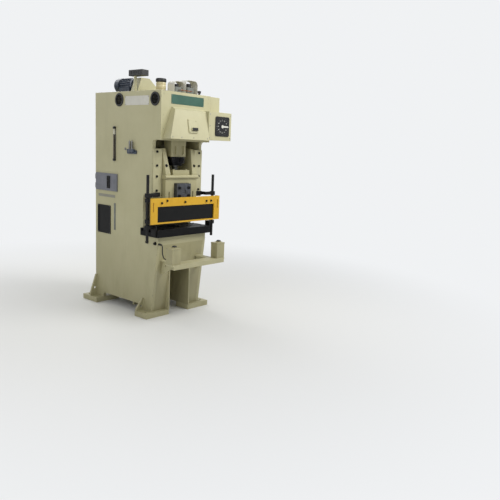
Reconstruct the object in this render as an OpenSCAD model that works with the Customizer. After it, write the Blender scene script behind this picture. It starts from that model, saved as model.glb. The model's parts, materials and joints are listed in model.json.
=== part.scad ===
// Gap-frame mechanical stamping press. Millimetres, Z up, front towards -Y.
// The origin lies on the floor, at the centre of the four anchor holes.
// Setbacks are distances behind the front face of the crown.

/* [Frame] */
// Height of the frame above the floor
frame_h = 2120; // [2060:5:2180]
// Width over the two side plates
frame_w = 626; // [610:2:650]
// Depth of the side plates
frame_d = 1000; // [980:5:1040]
// Thickness of a side plate
side_t = 32; // [26:1:36]
// Thickness of the cross plates
plate_t = 25; // [18:1:28]
// Height of the underside of the crown
crown_z = 1680; // [1670:1:1690]
// Radius where the crown meets the column
crown_r = 40; // [20:1:60]
// Setback of the column face below the crown
column_d = 110; // [104:1:116]
// Height of the throat roof
throat_z = 1182; // [1170:1:1190]
// Setback of the throat in the side plates
throat_d = 236; // [230:1:240]
// Radius of the throat corners
throat_r = 50; // [30:1:60]
// Setback of the web behind the slide
web_d = 305; // [302:1:315]
// Height of the bed under the bolster
bed_z = 785; // [775:1:790]
// Thickness of the bed plate
bed_t = 40; // [30:1:50]
// Setback of the front of the bed
bed_d = 20; // [15:1:30]
// Height where the front of the bed starts to slope back
bend_z = 705; // [690:1:720]
// Setback of the toe of the front legs
toe_d = 97; // [85:1:105]
// Width of the recess between the front legs
recess_w = 250; // [220:2:270]
// Height of the recess between the front legs
recess_h = 440; // [420:2:470]
// Setback of the back of the bed
bed_back = 420; // [400:1:440]
// Height of the arch under a side plate
arch_h = 92; // [80:1:110]
// Thickness of the top plate
top_t = 20; // [16:1:24]
// Thickness of the walls of the recess
recess_t = 12; // [8:1:16]
// Width of the window for strip in the web
strip_w = 300; // [270:2:320]
// Height of the window for strip
strip_h = 210; // [195:1:215]
// Corner radius of the window for strip
strip_r = 30; // [15:1:40]
// Height of that window's lower edge above the bolster
strip_z = 20; // [16:1:28]

/* [Bearings] */
// Wall of the front and middle bearing housings
housing_t = 40; // [34:1:46]
// Wall of the rear bearing housing
rear_housing_t = 30; // [24:1:36]
// Depth of the front bearing housing
front_bearing = 82; // [76:1:86]
// Setback at which the middle bearing housing starts
middle_d = 222; // [218:1:228]
// Reach of the middle bearing housing behind the web
middle_out = 16; // [10:1:20]
// Setback of the rear web
rear_web_d = 650; // [645:1:660]
// Height of the foot of the rear web
rear_web_z = 1560; // [1520:5:1600]
// Reach of the rear bearing housing in front of the rear web
rear_out = 18; // [12:1:22]
// Length of the rear bearing housing
rear_len = 62; // [55:1:70]

/* [Rear cover] */
// Height of the lower edge of the rear cover
rear_z = 140; // [120:2:160]
// Width of a louvre
louvre_w = 300; // [260:5:340]
// Height of a louvre
louvre_h = 18; // [12:1:22]
// Distance from one louvre to the next
louvre_step = 42; // [36:1:48]
// Height of the lowest louvre
louvre_z = 1560; // [1500:5:1600]
// Number of louvres
louvre_n = 9; // [6:1:10]

/* [Feet] */
// Thickness of a foot pad
pad_t = 50; // [40:1:60]
// Distance of a pad's outer edge from the middle
pad_x = 408; // [402:1:420]
// Depth of a front pad
pad_front = 175; // [160:1:190]
// Depth of a rear pad
pad_back = 240; // [220:1:260]
// Distance between anchor holes across the press
anchor_w = 730; // [724:2:740]
// Setback of the front anchor holes
anchor_front = 120; // [110:1:130]
// Setback of the rear anchor holes
anchor_back = 1040; // [1030:1:1050]
// Radius of an anchor hole
anchor_r = 13; // [9:1:16]
// Thickness of a foot gusset
gusset_t = 20; // [14:1:24]
// Height of a rear foot gusset
gusset_h = 220; // [180:5:240]
// Height of a front foot gusset
toe_gusset_h = 112; // [90:1:130]
// Reach of a front pad in front of the toe
toe_out = 45; // [38:1:52]
// Reach of a rear pad behind the frame
heel_out = 92; // [84:1:100]
// Radius of the hole for a lifting bar
lift_r = 13; // [10:1:16]

/* [Bolster] */
// Length of the bolster
bolster_w = 690; // [670:2:720]
// Thickness of the bolster
bolster_t = 70; // [60:1:80]
// Overhang of the bolster in front of the crown
bolster_out = 20; // [10:1:25]
// Depth of the tongue of the bolster behind the throat edge
tongue_d = 60; // [50:1:64]
// Radius of the blanking hole
blank_r = 60; // [40:1:70]
// Width of the neck of a tee slot
slot_w = 18; // [14:1:20]
// Distance between the two tee slots
slot_gap = 110; // [100:2:114]
// Radius of the head of a bolster bolt
bolt_r = 13; // [10:1:15]
// Width of the head of a tee slot
tee_w = 31; // [28:1:34]
// Height of the head of a tee slot
tee_h = 14; // [11:1:16]
// Depth of a tee slot
tee_d = 30; // [26:1:34]
// Depth of the recess round the blanking hole
blank_lip = 12; // [8:1:16]
// Distance of the bolster bolts from the middle
bolt_x = 250; // [240:2:260]
// Depth of a bolster bolt's counterbore
bolt_deep = 22; // [18:1:26]
// Depth of the bed's side bolts below the bed
side_bolt_z = 62; // [58:1:68]

/* [Slide] */
// Setback of the slide axis
axis_d = 150; // [148:1:152]
// Stroke of the slide
stroke = 60; // [50:1:60]
// Open height from bolster to slide at the top of the stroke
open_h = 270; // [255:1:275]
// Width of the slide
slide_w = 400; // [380:2:402]
// Setback of the slide's front face
slide_front = 50; // [46:1:54]
// Setback of the slide's back face
slide_back = 295; // [290:1:296]
// Height of the lower block of the slide
slide_low = 217; // [200:1:230]
// Height of the slide over all
slide_h = 480; // [470:1:490]
// Running clearance of the slide in its guides
slide_gap = 0.3; // [0.2:0.1:0.5]
// Width of the window at its top
window_top = 324; // [318:2:330]
// Width of the window at its bottom
window_low = 280; // [270:2:284]
// Height above the flange where the ears start to slope back
ear_rise = 34; // [28:1:40]
// Slope of the ears over their height
ear_back = 56; // [50:1:60]
// Radius of the shank hole
shank_r = 19.05; // [15:0.05:25]
// Depth of the shank hole
shank_h = 65; // [50:1:75]
// Thickness of the front flange
flange_t = 38; // [30:1:44]
// Overhang of the flange at each side of the slide
flange_out = 12; // [6:1:14]
// Width of the shank clamp
clamp_w = 176; // [164:2:180]
// Height of the shank clamp
clamp_top = 156; // [150:1:158]
// Reach of the shank clamp in front of the slide
clamp_out = 40; // [34:1:44]
// Sideways place of the clamp's bolts
clamp_bolt_x = 60; // [54:1:66]
// Heights of the clamp's lower bolts above the slide's face
clamp_bolt_z = 40; // [34:1:46]
// Height between the clamp's bolts
clamp_bolt_gap = 76; // [70:1:82]
// Width of the ball cap
cap_w = 200; // [190:2:206]
// Depth of the ball cap
cap_d = 176; // [168:2:184]
// Thickness of the ball cap
cap_t = 44; // [38:1:48]
// Running clearance of the ball in its pocket
ball_gap = 2; // [1.5:0.5:3]

/* [Guides] */
// Thickness of the face flange of a guide
gib_t = 13; // [10:1:18]
// Height of the foot of the guides
gib_z = 1146; // [1140:1:1150]
// Height of the top of the guides
gib_top = 1600; // [1580:1:1620]
// Thickness of a bronze liner
liner_t = 6; // [4:1:8]
// Distance of the guide bolts from the outer edge of the guide
gib_bolt_in = 40; // [38:1:46]
// Radius of a guide bolt's head
gib_bolt_r = 12; // [9:1:13]

/* [Crank] */
// Height of the crank axis
crank_z = 1880; // [1870:1:1890]
// Radius of the main journals
journal_r = 55; // [50:1:58]
// Thickness of a bearing bush
bush_t = 20; // [12:1:22]
// Radius of the eccentric
eccentric_r = 95; // [90:1:98]
// Running clearance of the bearings
bearing_gap = 0.05; // [0.03:0.01:0.08]
// Width of the connecting rod
rod_w = 100; // [90:1:104]
// Radius of the big end
rod_r = 135; // [130:1:145]
// Half width of the foot of the rod
rod_foot = 92; // [80:1:95]
// Height of the foot of the rod
rod_z = 1530; // [1524:1:1540]
// Radius of the adjusting screw
screw_r = 30; // [26:1:34]
// Radius of the ball end
ball_r = 42; // [38:1:44]
// Height of the ball centre
ball_z = 1305; // [1300:1:1308]
// Radius of the lock nut
nut_r = 95; // [84:1:96]
// Height of the lock nut
nut_h = 84; // [70:1:86]
// Wall of the bush in the big end
rod_bush_t = 10; // [7:1:12]
// Height and inward step of the plain collar under the lock nut
collar_in = 22; // [18:1:26]
// Number of notches round the lock nut
notch_n = 12; // [8:1:16]
// Reach of the crankshaft in front of the crown
shaft_out = 32; // [24:1:40]

/* [Flywheel] */
// Radius of the flywheel
fly_r = 225; // [215:1:230]
// Width of the flywheel rim
fly_w = 84; // [76:1:90]
// Setback of the flywheel's middle
fly_d = 535; // [530:1:540]
// Thickness of the flywheel rim
rim_t = 45; // [30:1:55]
// Number of belts
belts_n = 3; // [2:1:4]
// Width of a belt
belt_w = 13; // [10:1:16]
// Thickness of a belt
belt_t = 9; // [7:1:11]
// Radius of the clutch and brake drum
clutch_r = 150; // [120:1:170]
// Length of the clutch and brake drum
clutch_w = 85; // [70:1:90]
// Setback of the clutch drum's front face
clutch_d = 385; // [382:1:388]
// Distance between the edges of two belts
belt_gap = 7; // [5:1:9]
// Radius of a lightening hole of the flywheel
lighten_r = 30; // [20:1:36]
// Radius on which those holes lie
lighten_at = 132; // [126:1:138]
// Thickness of the flywheel's web
fly_web_t = 24; // [18:1:30]
// Thickness of the flywheel's hub
hub_t = 30; // [24:1:36]

/* [Motor] */
// Distance of the motor axis left of the middle
motor_x = 100; // [90:1:120]
// Height of the motor axis above the crown
motor_h = 84; // [80:1:90]
// Radius of the motor body
motor_r = 62; // [56:1:64]
// Height of a cooling fin
fin_h = 7; // [5:1:9]
// Length of the finned body
motor_l = 200; // [180:1:210]
// Length of the fan cowl
cowl_l = 78; // [60:1:90]
// Radius of the motor pulley
pulley_r = 46; // [40:1:52]
// Thickness of the motor base
base_t = 12; // [8:1:16]
// Width of the motor base
base_w = 190; // [180:2:200]
// Radius of the motor shaft
shaft_r = 14; // [12:0.5:16]
// Height of the belt guard's upright skirt
skirt_h = 20; // [14:1:30]
// Half width of the belt guard's top
guard_top = 50; // [48:1:56]
// Height of the terminal box above the crown
term_z = 150; // [144:1:156]
// Setback of the front of the terminal box
term_d = 356; // [350:1:362]
// Length of the terminal box
term_l = 200; // [190:2:210]
// Width of the terminal box
term_w = 80; // [74:1:84]
// Thickness of the terminal box
term_t = 54; // [46:1:54]
// Distance of the terminal box's middle left of the middle
term_x = 207; // [204:1:210]
// Radius of the terminal box's pipe
pipe_r = 15; // [12:0.5:17]

/* [Crown fittings] */
// Height of the front cover over all
cover_h = 290; // [280:1:296]
// Height of the bottom edge of the front cover
cover_z = 1695; // [1690:1:1700]
// Depth of the front cover at its foot
cover_out = 108; // [100:1:116]
// Depth of the front cover under its sloping top
cover_in = 58; // [50:1:70]
// Height of the sloping top of the front cover
cover_slope = 26; // [18:1:36]
// Thickness of sheet metal
sheet_t = 3; // [2:0.5:4]
// Left reach of the cover at its foot
cover_left = 288; // [280:1:296]
// Left reach of the cover at its top
cover_top_left = 185; // [170:1:200]
// Right edge of the front cover
cover_right = 204; // [196:1:212]
// Width of the dial box
dial_box_w = 314; // [300:1:330]
// Depth of the dial box
dial_box_d = 92; // [84:1:100]
// Height of the dial box
dial_box_h = 268; // [256:1:276]
// Width of the dial plate
dial_w = 196; // [180:1:206]
// Corner radius of the dial plate
dial_r = 18; // [10:1:26]
// Length of the dial pointer
pointer_l = 88; // [70:1:92]
// Width of the side box
side_box_w = 124; // [110:1:140]
// Depth of the side box
side_box_d = 250; // [220:1:270]
// Width of the cover's hatch
hatch_w = 108; // [100:1:116]
// Height of the cover's hatch
hatch_h = 124; // [116:1:130]
// Height of the foot of the hatch above the cover's lower edge
hatch_z = 62; // [56:1:68]
// Distance of the reservoir's axis left of the middle
tank_x = 100; // [95:1:105]
// Setback of the reservoir's axis
tank_d = 255; // [250:1:260]
// Radius of the reservoir
tank_r = 47; // [42:1:50]
// Height of the reservoir's body
tank_h = 98; // [90:1:106]
// Height of the reservoir's cap
tank_cap_h = 34; // [28:1:38]
// Depth of a valve hood
hood_d = 96; // [90:2:100]
// Corner radius of a valve hood
hood_r = 40; // [30:1:46]
// Width of the first hood
hood_w = 132; // [126:1:138]
// Height of the first hood
hood_h = 112; // [106:1:116]
// Width of the second hood
hood_two_w = 156; // [150:1:158]
// Height of the second hood
hood_two_h = 134; // [128:1:138]
// Distance of the first hood's edge left of the middle
hood_x = 60; // [56:1:64]
// Distance of the second hood's edge right of the middle
hood_two_x = 76; // [74:1:84]
// Width of a valve block
valve_w = 80; // [74:1:84]
// Height of the first valve block
valve_h = 62; // [58:1:66]
// Height of the second valve block
valve_two_h = 70; // [66:1:74]
// Radius of the first valve's coil
coil_r = 24; // [20:1:28]
// Radius of the second valve's coil
coil_two_r = 26; // [22:1:30]
// Setback of the first hood's middle
hood_one_d = 160; // [157:1:163]
// Setback of the second hood's middle
hood_two_d = 150; // [147:1:153]
// Distance of the breather right of the middle
breather_x = 214; // [212:1:217]
// Radius of the breather's cap
breather_r = 17; // [14:1:19]

/* [Side fittings] */
// Radius of a side vent
vent_r = 62; // [56:1:66]
// Height of the vents
vent_z = 2044; // [2036:1:2050]
// Number of slats in a vent
slats_n = 7; // [5:1:8]
// Width of the blank side plate
badge_w = 350; // [320:5:380]
// Height of the blank side plate
badge_h = 84; // [70:1:90]
// Width of the green front plate
green_w = 412; // [390:2:430]
// Height of the green front plate
green_h = 84; // [74:1:90]
// Setback of the front edge of the service door
door_d = 629; // [620:1:640]
// Width of the service door
door_w = 350; // [330:1:360]
// Height of the service door
door_h = 172; // [160:1:180]
// Height of the middle of the service door
door_z = 1248; // [1240:1:1256]
// Width of the service window
view_w = 216; // [200:1:230]
// Height of the service window
view_h = 288; // [270:1:300]
// Setback of the oil sight tube
gauge_d = 673; // [660:1:690]
// Length of the oil sight tube
gauge_h = 330; // [300:5:350]
// Radius of the oil sight tube
gauge_r = 9; // [7:0.5:10]
// Size of an end block of the sight tube
gauge_block = 22; // [18:1:26]
// Setback of the middle of the service window
view_d = 850; // [840:1:856]
// Height of the middle of the service window
view_z = 868; // [860:1:876]
// Width of the rim of the service window
view_rim = 12; // [8:1:16]
// Setback of the upright cover strip beside the window
strip_light_d = 661; // [656:1:666]
// Width of that strip
strip_light_w = 26; // [22:1:30]
// Height of its foot
strip_light_z = 775; // [765:1:785]
// Length of that strip
strip_light_h = 269; // [260:1:280]
// Setback of the hand pump's middle
pump_d = 401; // [395:1:407]
// Distance between the pump's two cylinders
pump_gap = 34; // [30:1:40]
// Radius of a pump cylinder
pump_r = 9; // [8:0.5:11]
// Setback of the middle of the blank side plate
badge_d = 343; // [340:1:346]
// Radius of a door hinge pin
pin_r = 2.5; // [2:0.25:3]
// Radius of a door hinge knuckle
knuckle_r = 6; // [5:0.5:7]

/* [Guard] */
// Distance of a guard post from the middle
post_x = 420; // [412:1:430]
// Setback of the guard posts
post_d = 40; // [34:1:44]
// Radius of a guard post
post_r = 13.5; // [12:0.5:15]
// Height of the foot of the guard posts
post_z = 742; // [736:1:750]
// Length of the guard posts
post_h = 622; // [600:2:640]
// Distance of the gate in front of the crown
gate_out = 28; // [24:1:34]
// Thickness of the gate frame
gate_t = 12; // [8:1:16]
// Width of the gate
gate_w = 888; // [880:2:900]
// Height of the gate's lower edge
gate_z = 918; // [912:1:924]
// Height of the gate
gate_h = 238; // [230:1:244]
// Width of a gate upright
upright_w = 77; // [70:1:84]
// Height of the gate's top rail
rail_h = 78; // [66:1:84]
// Height of a gate hinge clamp
clamp_h = 34; // [28:1:40]
// Wall of a clamp ring round a post
ring_t = 13; // [10:1:15]
// Height of an upper arm
arm_h = 38; // [32:1:44]
// Thickness of an arm
arm_t = 12; // [10:1:14]
// Thickness of the gate's closing wing
wing_t = 4; // [3:0.5:5]
// Width of a gate hinge's arm
hinge_w = 18; // [14:1:22]
// Distance of an outer gate bolt from the middle
gate_bolt_x = 320; // [310:1:330]
// Distance from an outer gate bolt to the next
gate_bolt_step = 65; // [60:1:72]
// Radius of a gate bolt's head
gate_bolt_r = 11; // [9:1:12]

/* [Controls] */
// Length of the control shelf
shelf_w = 690; // [680:2:720]
// Depth of the control shelf
shelf_d = 255; // [240:1:270]
// Height of the control shelf
shelf_z = 548; // [540:1:556]
// Width of a button box
box_w = 105; // [96:1:116]
// Depth of a button box
box_d = 84; // [76:1:92]
// Height of a button box
box_h = 152; // [140:1:160]
// Distance of a button box inside the end of the shelf
box_in = 0.5; // [0.5:0.5:4]
// Radius of a palm button
palm_r = 22; // [18:1:26]
// Travel of a button
press_h = 5; // [4:0.5:6]
// Radius of the cable
cable_r = 5; // [4:0.5:6]
// Thickness of the control shelf
shelf_t = 12; // [8:1:14]
// Depth of the shelf's folded front lip
lip_h = 34; // [28:1:40]
// Depth of the shelf's front bar
bar_d = 105; // [102:1:112]
// Corner radius of the front bar
bar_r = 12; // [6:1:12]
// Width of an arm that carries the bar
shelf_arm_w = 60; // [50:2:66]
// Distance of an arm's middle from the middle of the press
shelf_arm_x = 223; // [210:1:228]
// Setback of the back of the button boxes, in front of the crown
box_back = -140; // [-144:1:-136]
// Sideways place of a palm button from its box's middle
palm_x = 10; // [6:1:12]
// Width of a collar's rim round a palm button
rim_w = 7; // [5:0.5:8]

/* [Hidden] */
$fn = 48;

// Colours of the press, as a person would name them
cream = "#b9b58f";
black = "#1d1e20";
dark = "#2b2d33";
steel = "#8f9296";
bronze = "#a9814a";
yellow = "#d2a12c";
green = "#2f5e4a";
grey = "#8d9190";
white = "#e8e8e4";

// Derived places
eps = 1;
front_y = -(anchor_front + anchor_back) / 2;
out_x = frame_w / 2;
in_x = out_x - side_t;
slide_z = bed_z + bolster_t + open_h;
slide_top = slide_z + slide_h;
floor_z = slide_z + slide_low + flange_t / 2;
throw = stroke / 2;
bolster_top = bed_z + bolster_t;
cover_top = cover_z + cover_h;
dial_x = cover_right + 2 + dial_box_w * 0.585;
dial_z = cover_z + 8 + dial_box_h / 2;
motor_z = frame_h + motor_h;
shelf_top = shelf_z + shelf_t;
vent_ds = [80, 606];
hinge_x = -out_x - 7.5;
hinge_d = door_d + door_w + 7;
hinge_zs = [door_z - 46, door_z + 46];
bore_r = journal_r + bush_t;
middle_back = web_d + plate_t + middle_out;
rear_d = rear_web_d - rear_out;
rod_slot = rod_r + throw + 8;
motor_d = fly_d + 85;
bolster_bolt_ds = [20, axis_d];
belt_left = -motor_x - 90;
belt_right = 100;
box_x = shelf_w / 2 - box_w / 2 - box_in;
slot_half = fly_w / 2 + 5;
guard_half = slot_half + sheet_t + 2;
CABLE = [[-297, -12, 718], [-300, -34, 706], [-311, -50, 650], [-314, -72, 606],
         [-12 - box_x, -96, 590], [-box_x, -114, 590]];

function fy(setback) = front_y + setback;

// A block between two opposite corners
module block(a, b) {
    translate(a) cube(b - a);
}

// A cylinder along Y from one setback to another
module rod_y(x, z, d0, d1, r) {
    translate([x, fy(d0), z]) rotate([-90, 0, 0]) cylinder(h = d1 - d0, r = r);
}

// A cylinder along X between two places
module rod_x(x0, x1, d, z, r) {
    translate([x0, fy(d), z]) rotate([0, 90, 0]) cylinder(h = x1 - x0, r = r);
}

// An upright cylinder
module rod_z(x, d, z0, z1, r) {
    translate([x, fy(d), z0]) cylinder(h = z1 - z0, r = r);
}

// A hexagonal bolt head whose axis runs along Y towards the front
module head_y(x, d, z, r, h) {
    translate([x, fy(d), z]) rotate([90, 0, 0]) cylinder(h = h, r = r, $fn = 6);
}

// A flat outline in Y and Z drawn out along X
module along_x(x0, x1) {
    translate([x0, 0, 0]) rotate([90, 0, 90]) linear_extrude(x1 - x0) children();
}

// A flat outline in X and Z drawn out along Y
module along_y(d0, d1) {
    translate([0, fy(d1), 0]) rotate([90, 0, 0]) linear_extrude(d1 - d0) children();
}

// A rectangle with round corners about its own middle
module round_rect(w, h, r) {
    square([w - 2 * r, h], center = true);
    square([w, h - 2 * r], center = true);
    for (x = [-1, 1], y = [-1, 1]) translate([x * (w / 2 - r), y * (h / 2 - r)]) circle(r);
}

// An open-fronted pocket with round corners at its back
module pocket(d0, d1, z0, z1, r) {
    translate([fy(d0), z0]) square([d1 - r - d0, z1 - z0]);
    translate([fy(d0), z0 + r]) square([d1 - d0, z1 - z0 - 2 * r]);
    for (z = [z0 + r, z1 - r]) translate([fy(d1 - r), z]) circle(r);
}

// The outline of a side plate, with throat, crown overhang, sloping leg and arch
module side_outline() {
    difference() {
        polygon([[fy(toe_d), pad_t], [fy(bed_d), bend_z], [fy(bed_d), bed_z], [fy(0), bed_z],
                 [fy(0), frame_h], [fy(frame_d), frame_h], [fy(frame_d), pad_t]]);
        pocket(-eps, throat_d, bed_z, throat_z, throat_r);
        translate([fy(throat_d - throat_r), bed_z]) square([throat_r, throat_r]);
        pocket(-eps, column_d, throat_z - 2 * crown_r, crown_z, crown_r);
        translate([fy((pad_end_front() + pad_start_back()) / 2), pad_t])
            round_rect(pad_start_back() - pad_end_front() + 20, 2 * (arch_h - pad_t), 30);
    }
}

function pad_end_front() = toe_d - toe_out + pad_front;
function pad_start_back() = frame_d + heel_out - pad_back;

module side_plate(x0) {
    difference() {
        along_x(x0, x0 + side_t) side_outline();
        for (d = vent_ds) rod_x(x0 - eps, x0 + side_t + eps, d, vent_z, vent_r - 12);
    }
}

module side_plate_left() {
    color(cream) difference() {
        side_plate(-out_x);
        block([-out_x - eps, fy(view_d - view_w / 2 + 10), view_z - view_h / 2 + 10],
              [-in_x + eps, fy(view_d + view_w / 2 - 10), view_z + view_h / 2 - 10]);
        block([-out_x - eps, fy(door_d + 22), door_z - door_h / 2 + 20],
              [-in_x + eps, fy(door_d + door_w - 22), door_z + door_h / 2 - 20]);
    }
}

module side_plate_right() {
    color(cream) side_plate(in_x);
}

// Front, top and floor of the crown, with the front bearing housing
module crown_plates() {
    color(cream) difference() {
        union() {
            block([-in_x, fy(0), crown_z], [in_x, fy(plate_t), frame_h]);
            block([-in_x, fy(plate_t - eps), frame_h - top_t], [in_x, fy(frame_d - plate_t), frame_h]);
            block([-in_x, fy(plate_t - eps), crown_z], [in_x, fy(web_d), crown_z + plate_t]);
            rod_y(0, crank_z, plate_t - eps, front_bearing, bore_r + housing_t);
        }
        rod_y(0, crank_z, -eps, front_bearing + eps, bore_r);
        block([-rod_slot, fy(axis_d - rod_w / 2 - 10), crown_z - eps],
              [rod_slot, fy(axis_d + rod_w / 2 + 10), crown_z + plate_t + eps]);
        block([belt_left, fy(fly_d - slot_half), frame_h - top_t - eps],
              [belt_right, fy(fly_d + slot_half), frame_h + eps]);
    }
}

// Web behind the slide, with its bearing housing and the window for strip
module back_web() {
    color(cream) difference() {
        union() {
            block([-in_x, fy(web_d), bed_z], [in_x, fy(web_d + plate_t), frame_h - top_t]);
            rod_y(0, crank_z, middle_d, middle_back, bore_r + housing_t);
        }
        rod_y(0, crank_z, middle_d - eps, middle_back + eps, bore_r);
        along_y(web_d - eps, web_d + plate_t + eps)
            translate([0, bolster_top + strip_z + strip_h / 2]) round_rect(strip_w, strip_h, strip_r);
    }
}

// Web that carries the rear end of the crankshaft
module rear_web() {
    color(cream) difference() {
        union() {
            block([-in_x, fy(rear_web_d), rear_web_z], [in_x, fy(rear_web_d + plate_t), frame_h - top_t]);
            rod_y(0, crank_z, rear_d, rear_d + rear_len, bore_r + rear_housing_t);
        }
        rod_y(0, crank_z, rear_d - eps, rear_d + rear_len + eps, bore_r);
    }
}

// Bed plate, sloping front panel and the walls of the recess
module bed_plates() {
    slope = [[fy(toe_d), pad_t], [fy(bed_d), bend_z], [fy(bed_d), bed_z - bed_t],
             [fy(bed_d + plate_t), bed_z - bed_t], [fy(bed_d + plate_t), bend_z],
             [fy(toe_d + plate_t), pad_t]];
    color(cream) difference() {
        union() {
            block([-in_x, fy(bed_d), bed_z - bed_t], [in_x, fy(bed_back), bed_z]);
            along_x(-in_x, in_x) polygon(slope);
            block([-recess_w / 2 - recess_t, fy(bed_d + plate_t), pad_t],
                  [recess_w / 2 + recess_t, fy(bed_back), recess_h + recess_t]);
            block([-in_x, fy(bed_back - plate_t), pad_t], [in_x, fy(bed_back), bed_z - bed_t + eps]);
        }
        block([-recess_w / 2, fy(-eps), pad_t - eps], [recess_w / 2, fy(bed_back - plate_t), recess_h]);
        rod_z(0, axis_d, recess_h - eps, bed_z + eps, blank_r);
    }
}

module foot_pads() {
    color(cream) for (side = [-1, 1]) mirror([side < 0 ? 1 : 0, 0, 0]) {
        foot(toe_d - toe_out, pad_front, anchor_front, toe_gusset_h, toe_d - toe_out + pad_front - gusset_t);
        foot(frame_d + heel_out - pad_back, pad_back, anchor_back, gusset_h, frame_d - gusset_t - 12);
    }
}

// One pad with its gusset, on the right-hand side
module foot(d0, len, hole_d, rise, gusset_d) {
    difference() {
        union() {
            block([recess_w / 2, fy(d0), 0], [pad_x, fy(d0 + len), pad_t]);
            along_y(gusset_d, gusset_d + gusset_t)
                polygon([[out_x, pad_t - eps], [pad_x - 6, pad_t - eps], [pad_x - 6, pad_t + 18],
                         [out_x + 18, pad_t + rise], [out_x, pad_t + rise]]);
        }
        rod_z(anchor_w / 2, hole_d, -eps, pad_t + eps, anchor_r);
        rod_y(out_x + 30, pad_t + rise * 0.36, gusset_d - eps, gusset_d + gusset_t + eps, lift_r);
    }
}

// Louvred sheet pan that closes the back of the frame
module rear_cover() {
    color(cream) difference() {
        block([-in_x, fy(frame_d - plate_t), rear_z], [in_x, fy(frame_d), frame_h]);
        block([-in_x + sheet_t, fy(frame_d - plate_t - eps), rear_z + sheet_t],
              [in_x - sheet_t, fy(frame_d - sheet_t), frame_h - sheet_t]);
        for (i = [0 : louvre_n - 1]) translate([0, 0, louvre_z + i * louvre_step])
            block([-louvre_w / 2, fy(frame_d - sheet_t - eps), 0], [louvre_w / 2, fy(frame_d + eps), louvre_h]);
    }
}

module bolster() {
    slots = [axis_d - slot_gap / 2, axis_d + slot_gap / 2];
    color(dark) difference() {
        union() {
            block([-bolster_w / 2, fy(-bolster_out), bed_z],
                  [bolster_w / 2, fy(throat_d - 4), bolster_top]);
            block([-in_x + 2, fy(throat_d - 4 - eps), bed_z],
                  [in_x - 2, fy(throat_d + tongue_d), bolster_top]);
        }
        rod_z(0, axis_d, bed_z - eps, bolster_top + eps, blank_r - blank_lip);
        rod_z(0, axis_d, bolster_top - blank_lip, bolster_top + eps, blank_r + blank_lip / 2);
        for (d = slots) {
            block([-bolster_w / 2 - eps, fy(d - slot_w / 2), bolster_top - tee_d],
                  [bolster_w / 2 + eps, fy(d + slot_w / 2), bolster_top + eps]);
            block([-bolster_w / 2 - eps, fy(d - tee_w / 2), bolster_top - tee_d],
                  [bolster_w / 2 + eps, fy(d + tee_w / 2), bolster_top - tee_d + tee_h]);
        }
        for (x = [-bolt_x, bolt_x], d = bolster_bolt_ds)
            rod_z(x, d, bolster_top - bolt_deep, bolster_top + eps, bolt_r + 1.5);
    }
}

// Bolts of the bolster: four from above and two through each side plate
module bolster_bolts() {
    color(black) for (x = [-bolt_x, bolt_x], d = bolster_bolt_ds) difference() {
        rod_z(x, d, bolster_top - bolt_deep, bolster_top - 4, bolt_r);
        translate([x, fy(d), bolster_top - 13]) cylinder(h = 20, r = 7, $fn = 6);
    }
    color(black) for (side = [-1, 1], d = [49, 165]) mirror([side < 0 ? 1 : 0, 0, 0]) {
        rod_x(out_x, out_x + 4, d, bed_z - side_bolt_z, bolt_r + 4);
        translate([out_x + 4, fy(d), bed_z - side_bolt_z]) rotate([0, 90, 0]) cylinder(h = 14, r = bolt_r, $fn = 6);
    }
}

// One slide guide, right-hand side, with its face flange and oil groove
module guide() {
    face_x = out_x - 3;
    inner = slide_w / 2 + slide_gap + liner_t;
    difference() {
        union() {
            block([inner, fy(column_d - gib_t), gib_z], [face_x, fy(column_d), gib_top]);
            block([inner, fy(column_d - eps), gib_z], [in_x, fy(web_d), gib_top]);
        }
        for (z = gib_bolts_z()) rod_y(face_x - gib_bolt_in, z, column_d - gib_t - eps, column_d + 30, 7);
        rod_y(inner, gib_z + 20, column_d - gib_t - eps, column_d - gib_t + 6, 5);
    }
}

function gib_bolts_z() = [gib_z + 68, gib_z + 199, gib_z + 300, gib_top - 27];

module guide_left() {
    color(cream) mirror([1, 0, 0]) guide();
}

module guide_right() {
    color(cream) guide();
}

module guide_liners() {
    inner = slide_w / 2 + slide_gap;
    color(bronze) for (side = [-1, 1]) mirror([side < 0 ? 1 : 0, 0, 0]) difference() {
        block([inner, fy(column_d), gib_z], [inner + liner_t, fy(web_d - 12), gib_top]);
        for (z = [gib_z + 60 : 70 : gib_top - 40])
            block([inner - eps, fy(column_d + 16), z], [inner + 1.5, fy(web_d - 28), z + 4]);
    }
}

module guide_bolts() {
    color(black) for (side = [-1, 1], z = gib_bolts_z()) {
        x = side * (out_x - 3 - gib_bolt_in);
        head_y(x, column_d - gib_t, z, gib_bolt_r, 9);
        rod_y(x, z, column_d - gib_t, column_d + 28, 6.8);
    }
}

// The slide: guide flanks, tapering window, round flange and lower block
module slide() {
    half = slide_w / 2;
    base = slide_z + slide_low;
    color(cream) difference() {
        union() {
            block([-half, fy(slide_front), slide_z], [half, fy(slide_back), slide_top]);
            block([-half - flange_out, fy(slide_front), base - flange_t / 2],
                  [half + flange_out, fy(column_d - gib_t - 4), base + flange_t / 2]);
            rod_x(-half - flange_out, half + flange_out, slide_front, base, flange_t / 2);
        }
        along_y(-50, slide_back - 40)
            polygon([[-window_low / 2, floor_z], [window_low / 2, floor_z],
                     [window_top / 2, slide_top + eps], [-window_top / 2, slide_top + eps]]);
        ear_slope(base + ear_rise);
        ball_pocket();
        rod_z(0, axis_d, slide_z - eps, slide_z + shank_h, shank_r);
        for (side = [-1, 1]) {
            block([side * 153 - 6, fy(slide_front - eps), slide_z + 16],
                  [side * 153 + 6, fy(slide_front + 60), slide_z + 78]);
            rod_y(side * (half - 22), base + 105, slide_front - eps, slide_front + ear_back, 8);
        }
        block([-clamp_w / 2 - 4, fy(slide_front - eps), slide_z - eps],
              [clamp_w / 2 + 4, fy(slide_front + 8), slide_z + clamp_top + 4]);
    }
}

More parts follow.
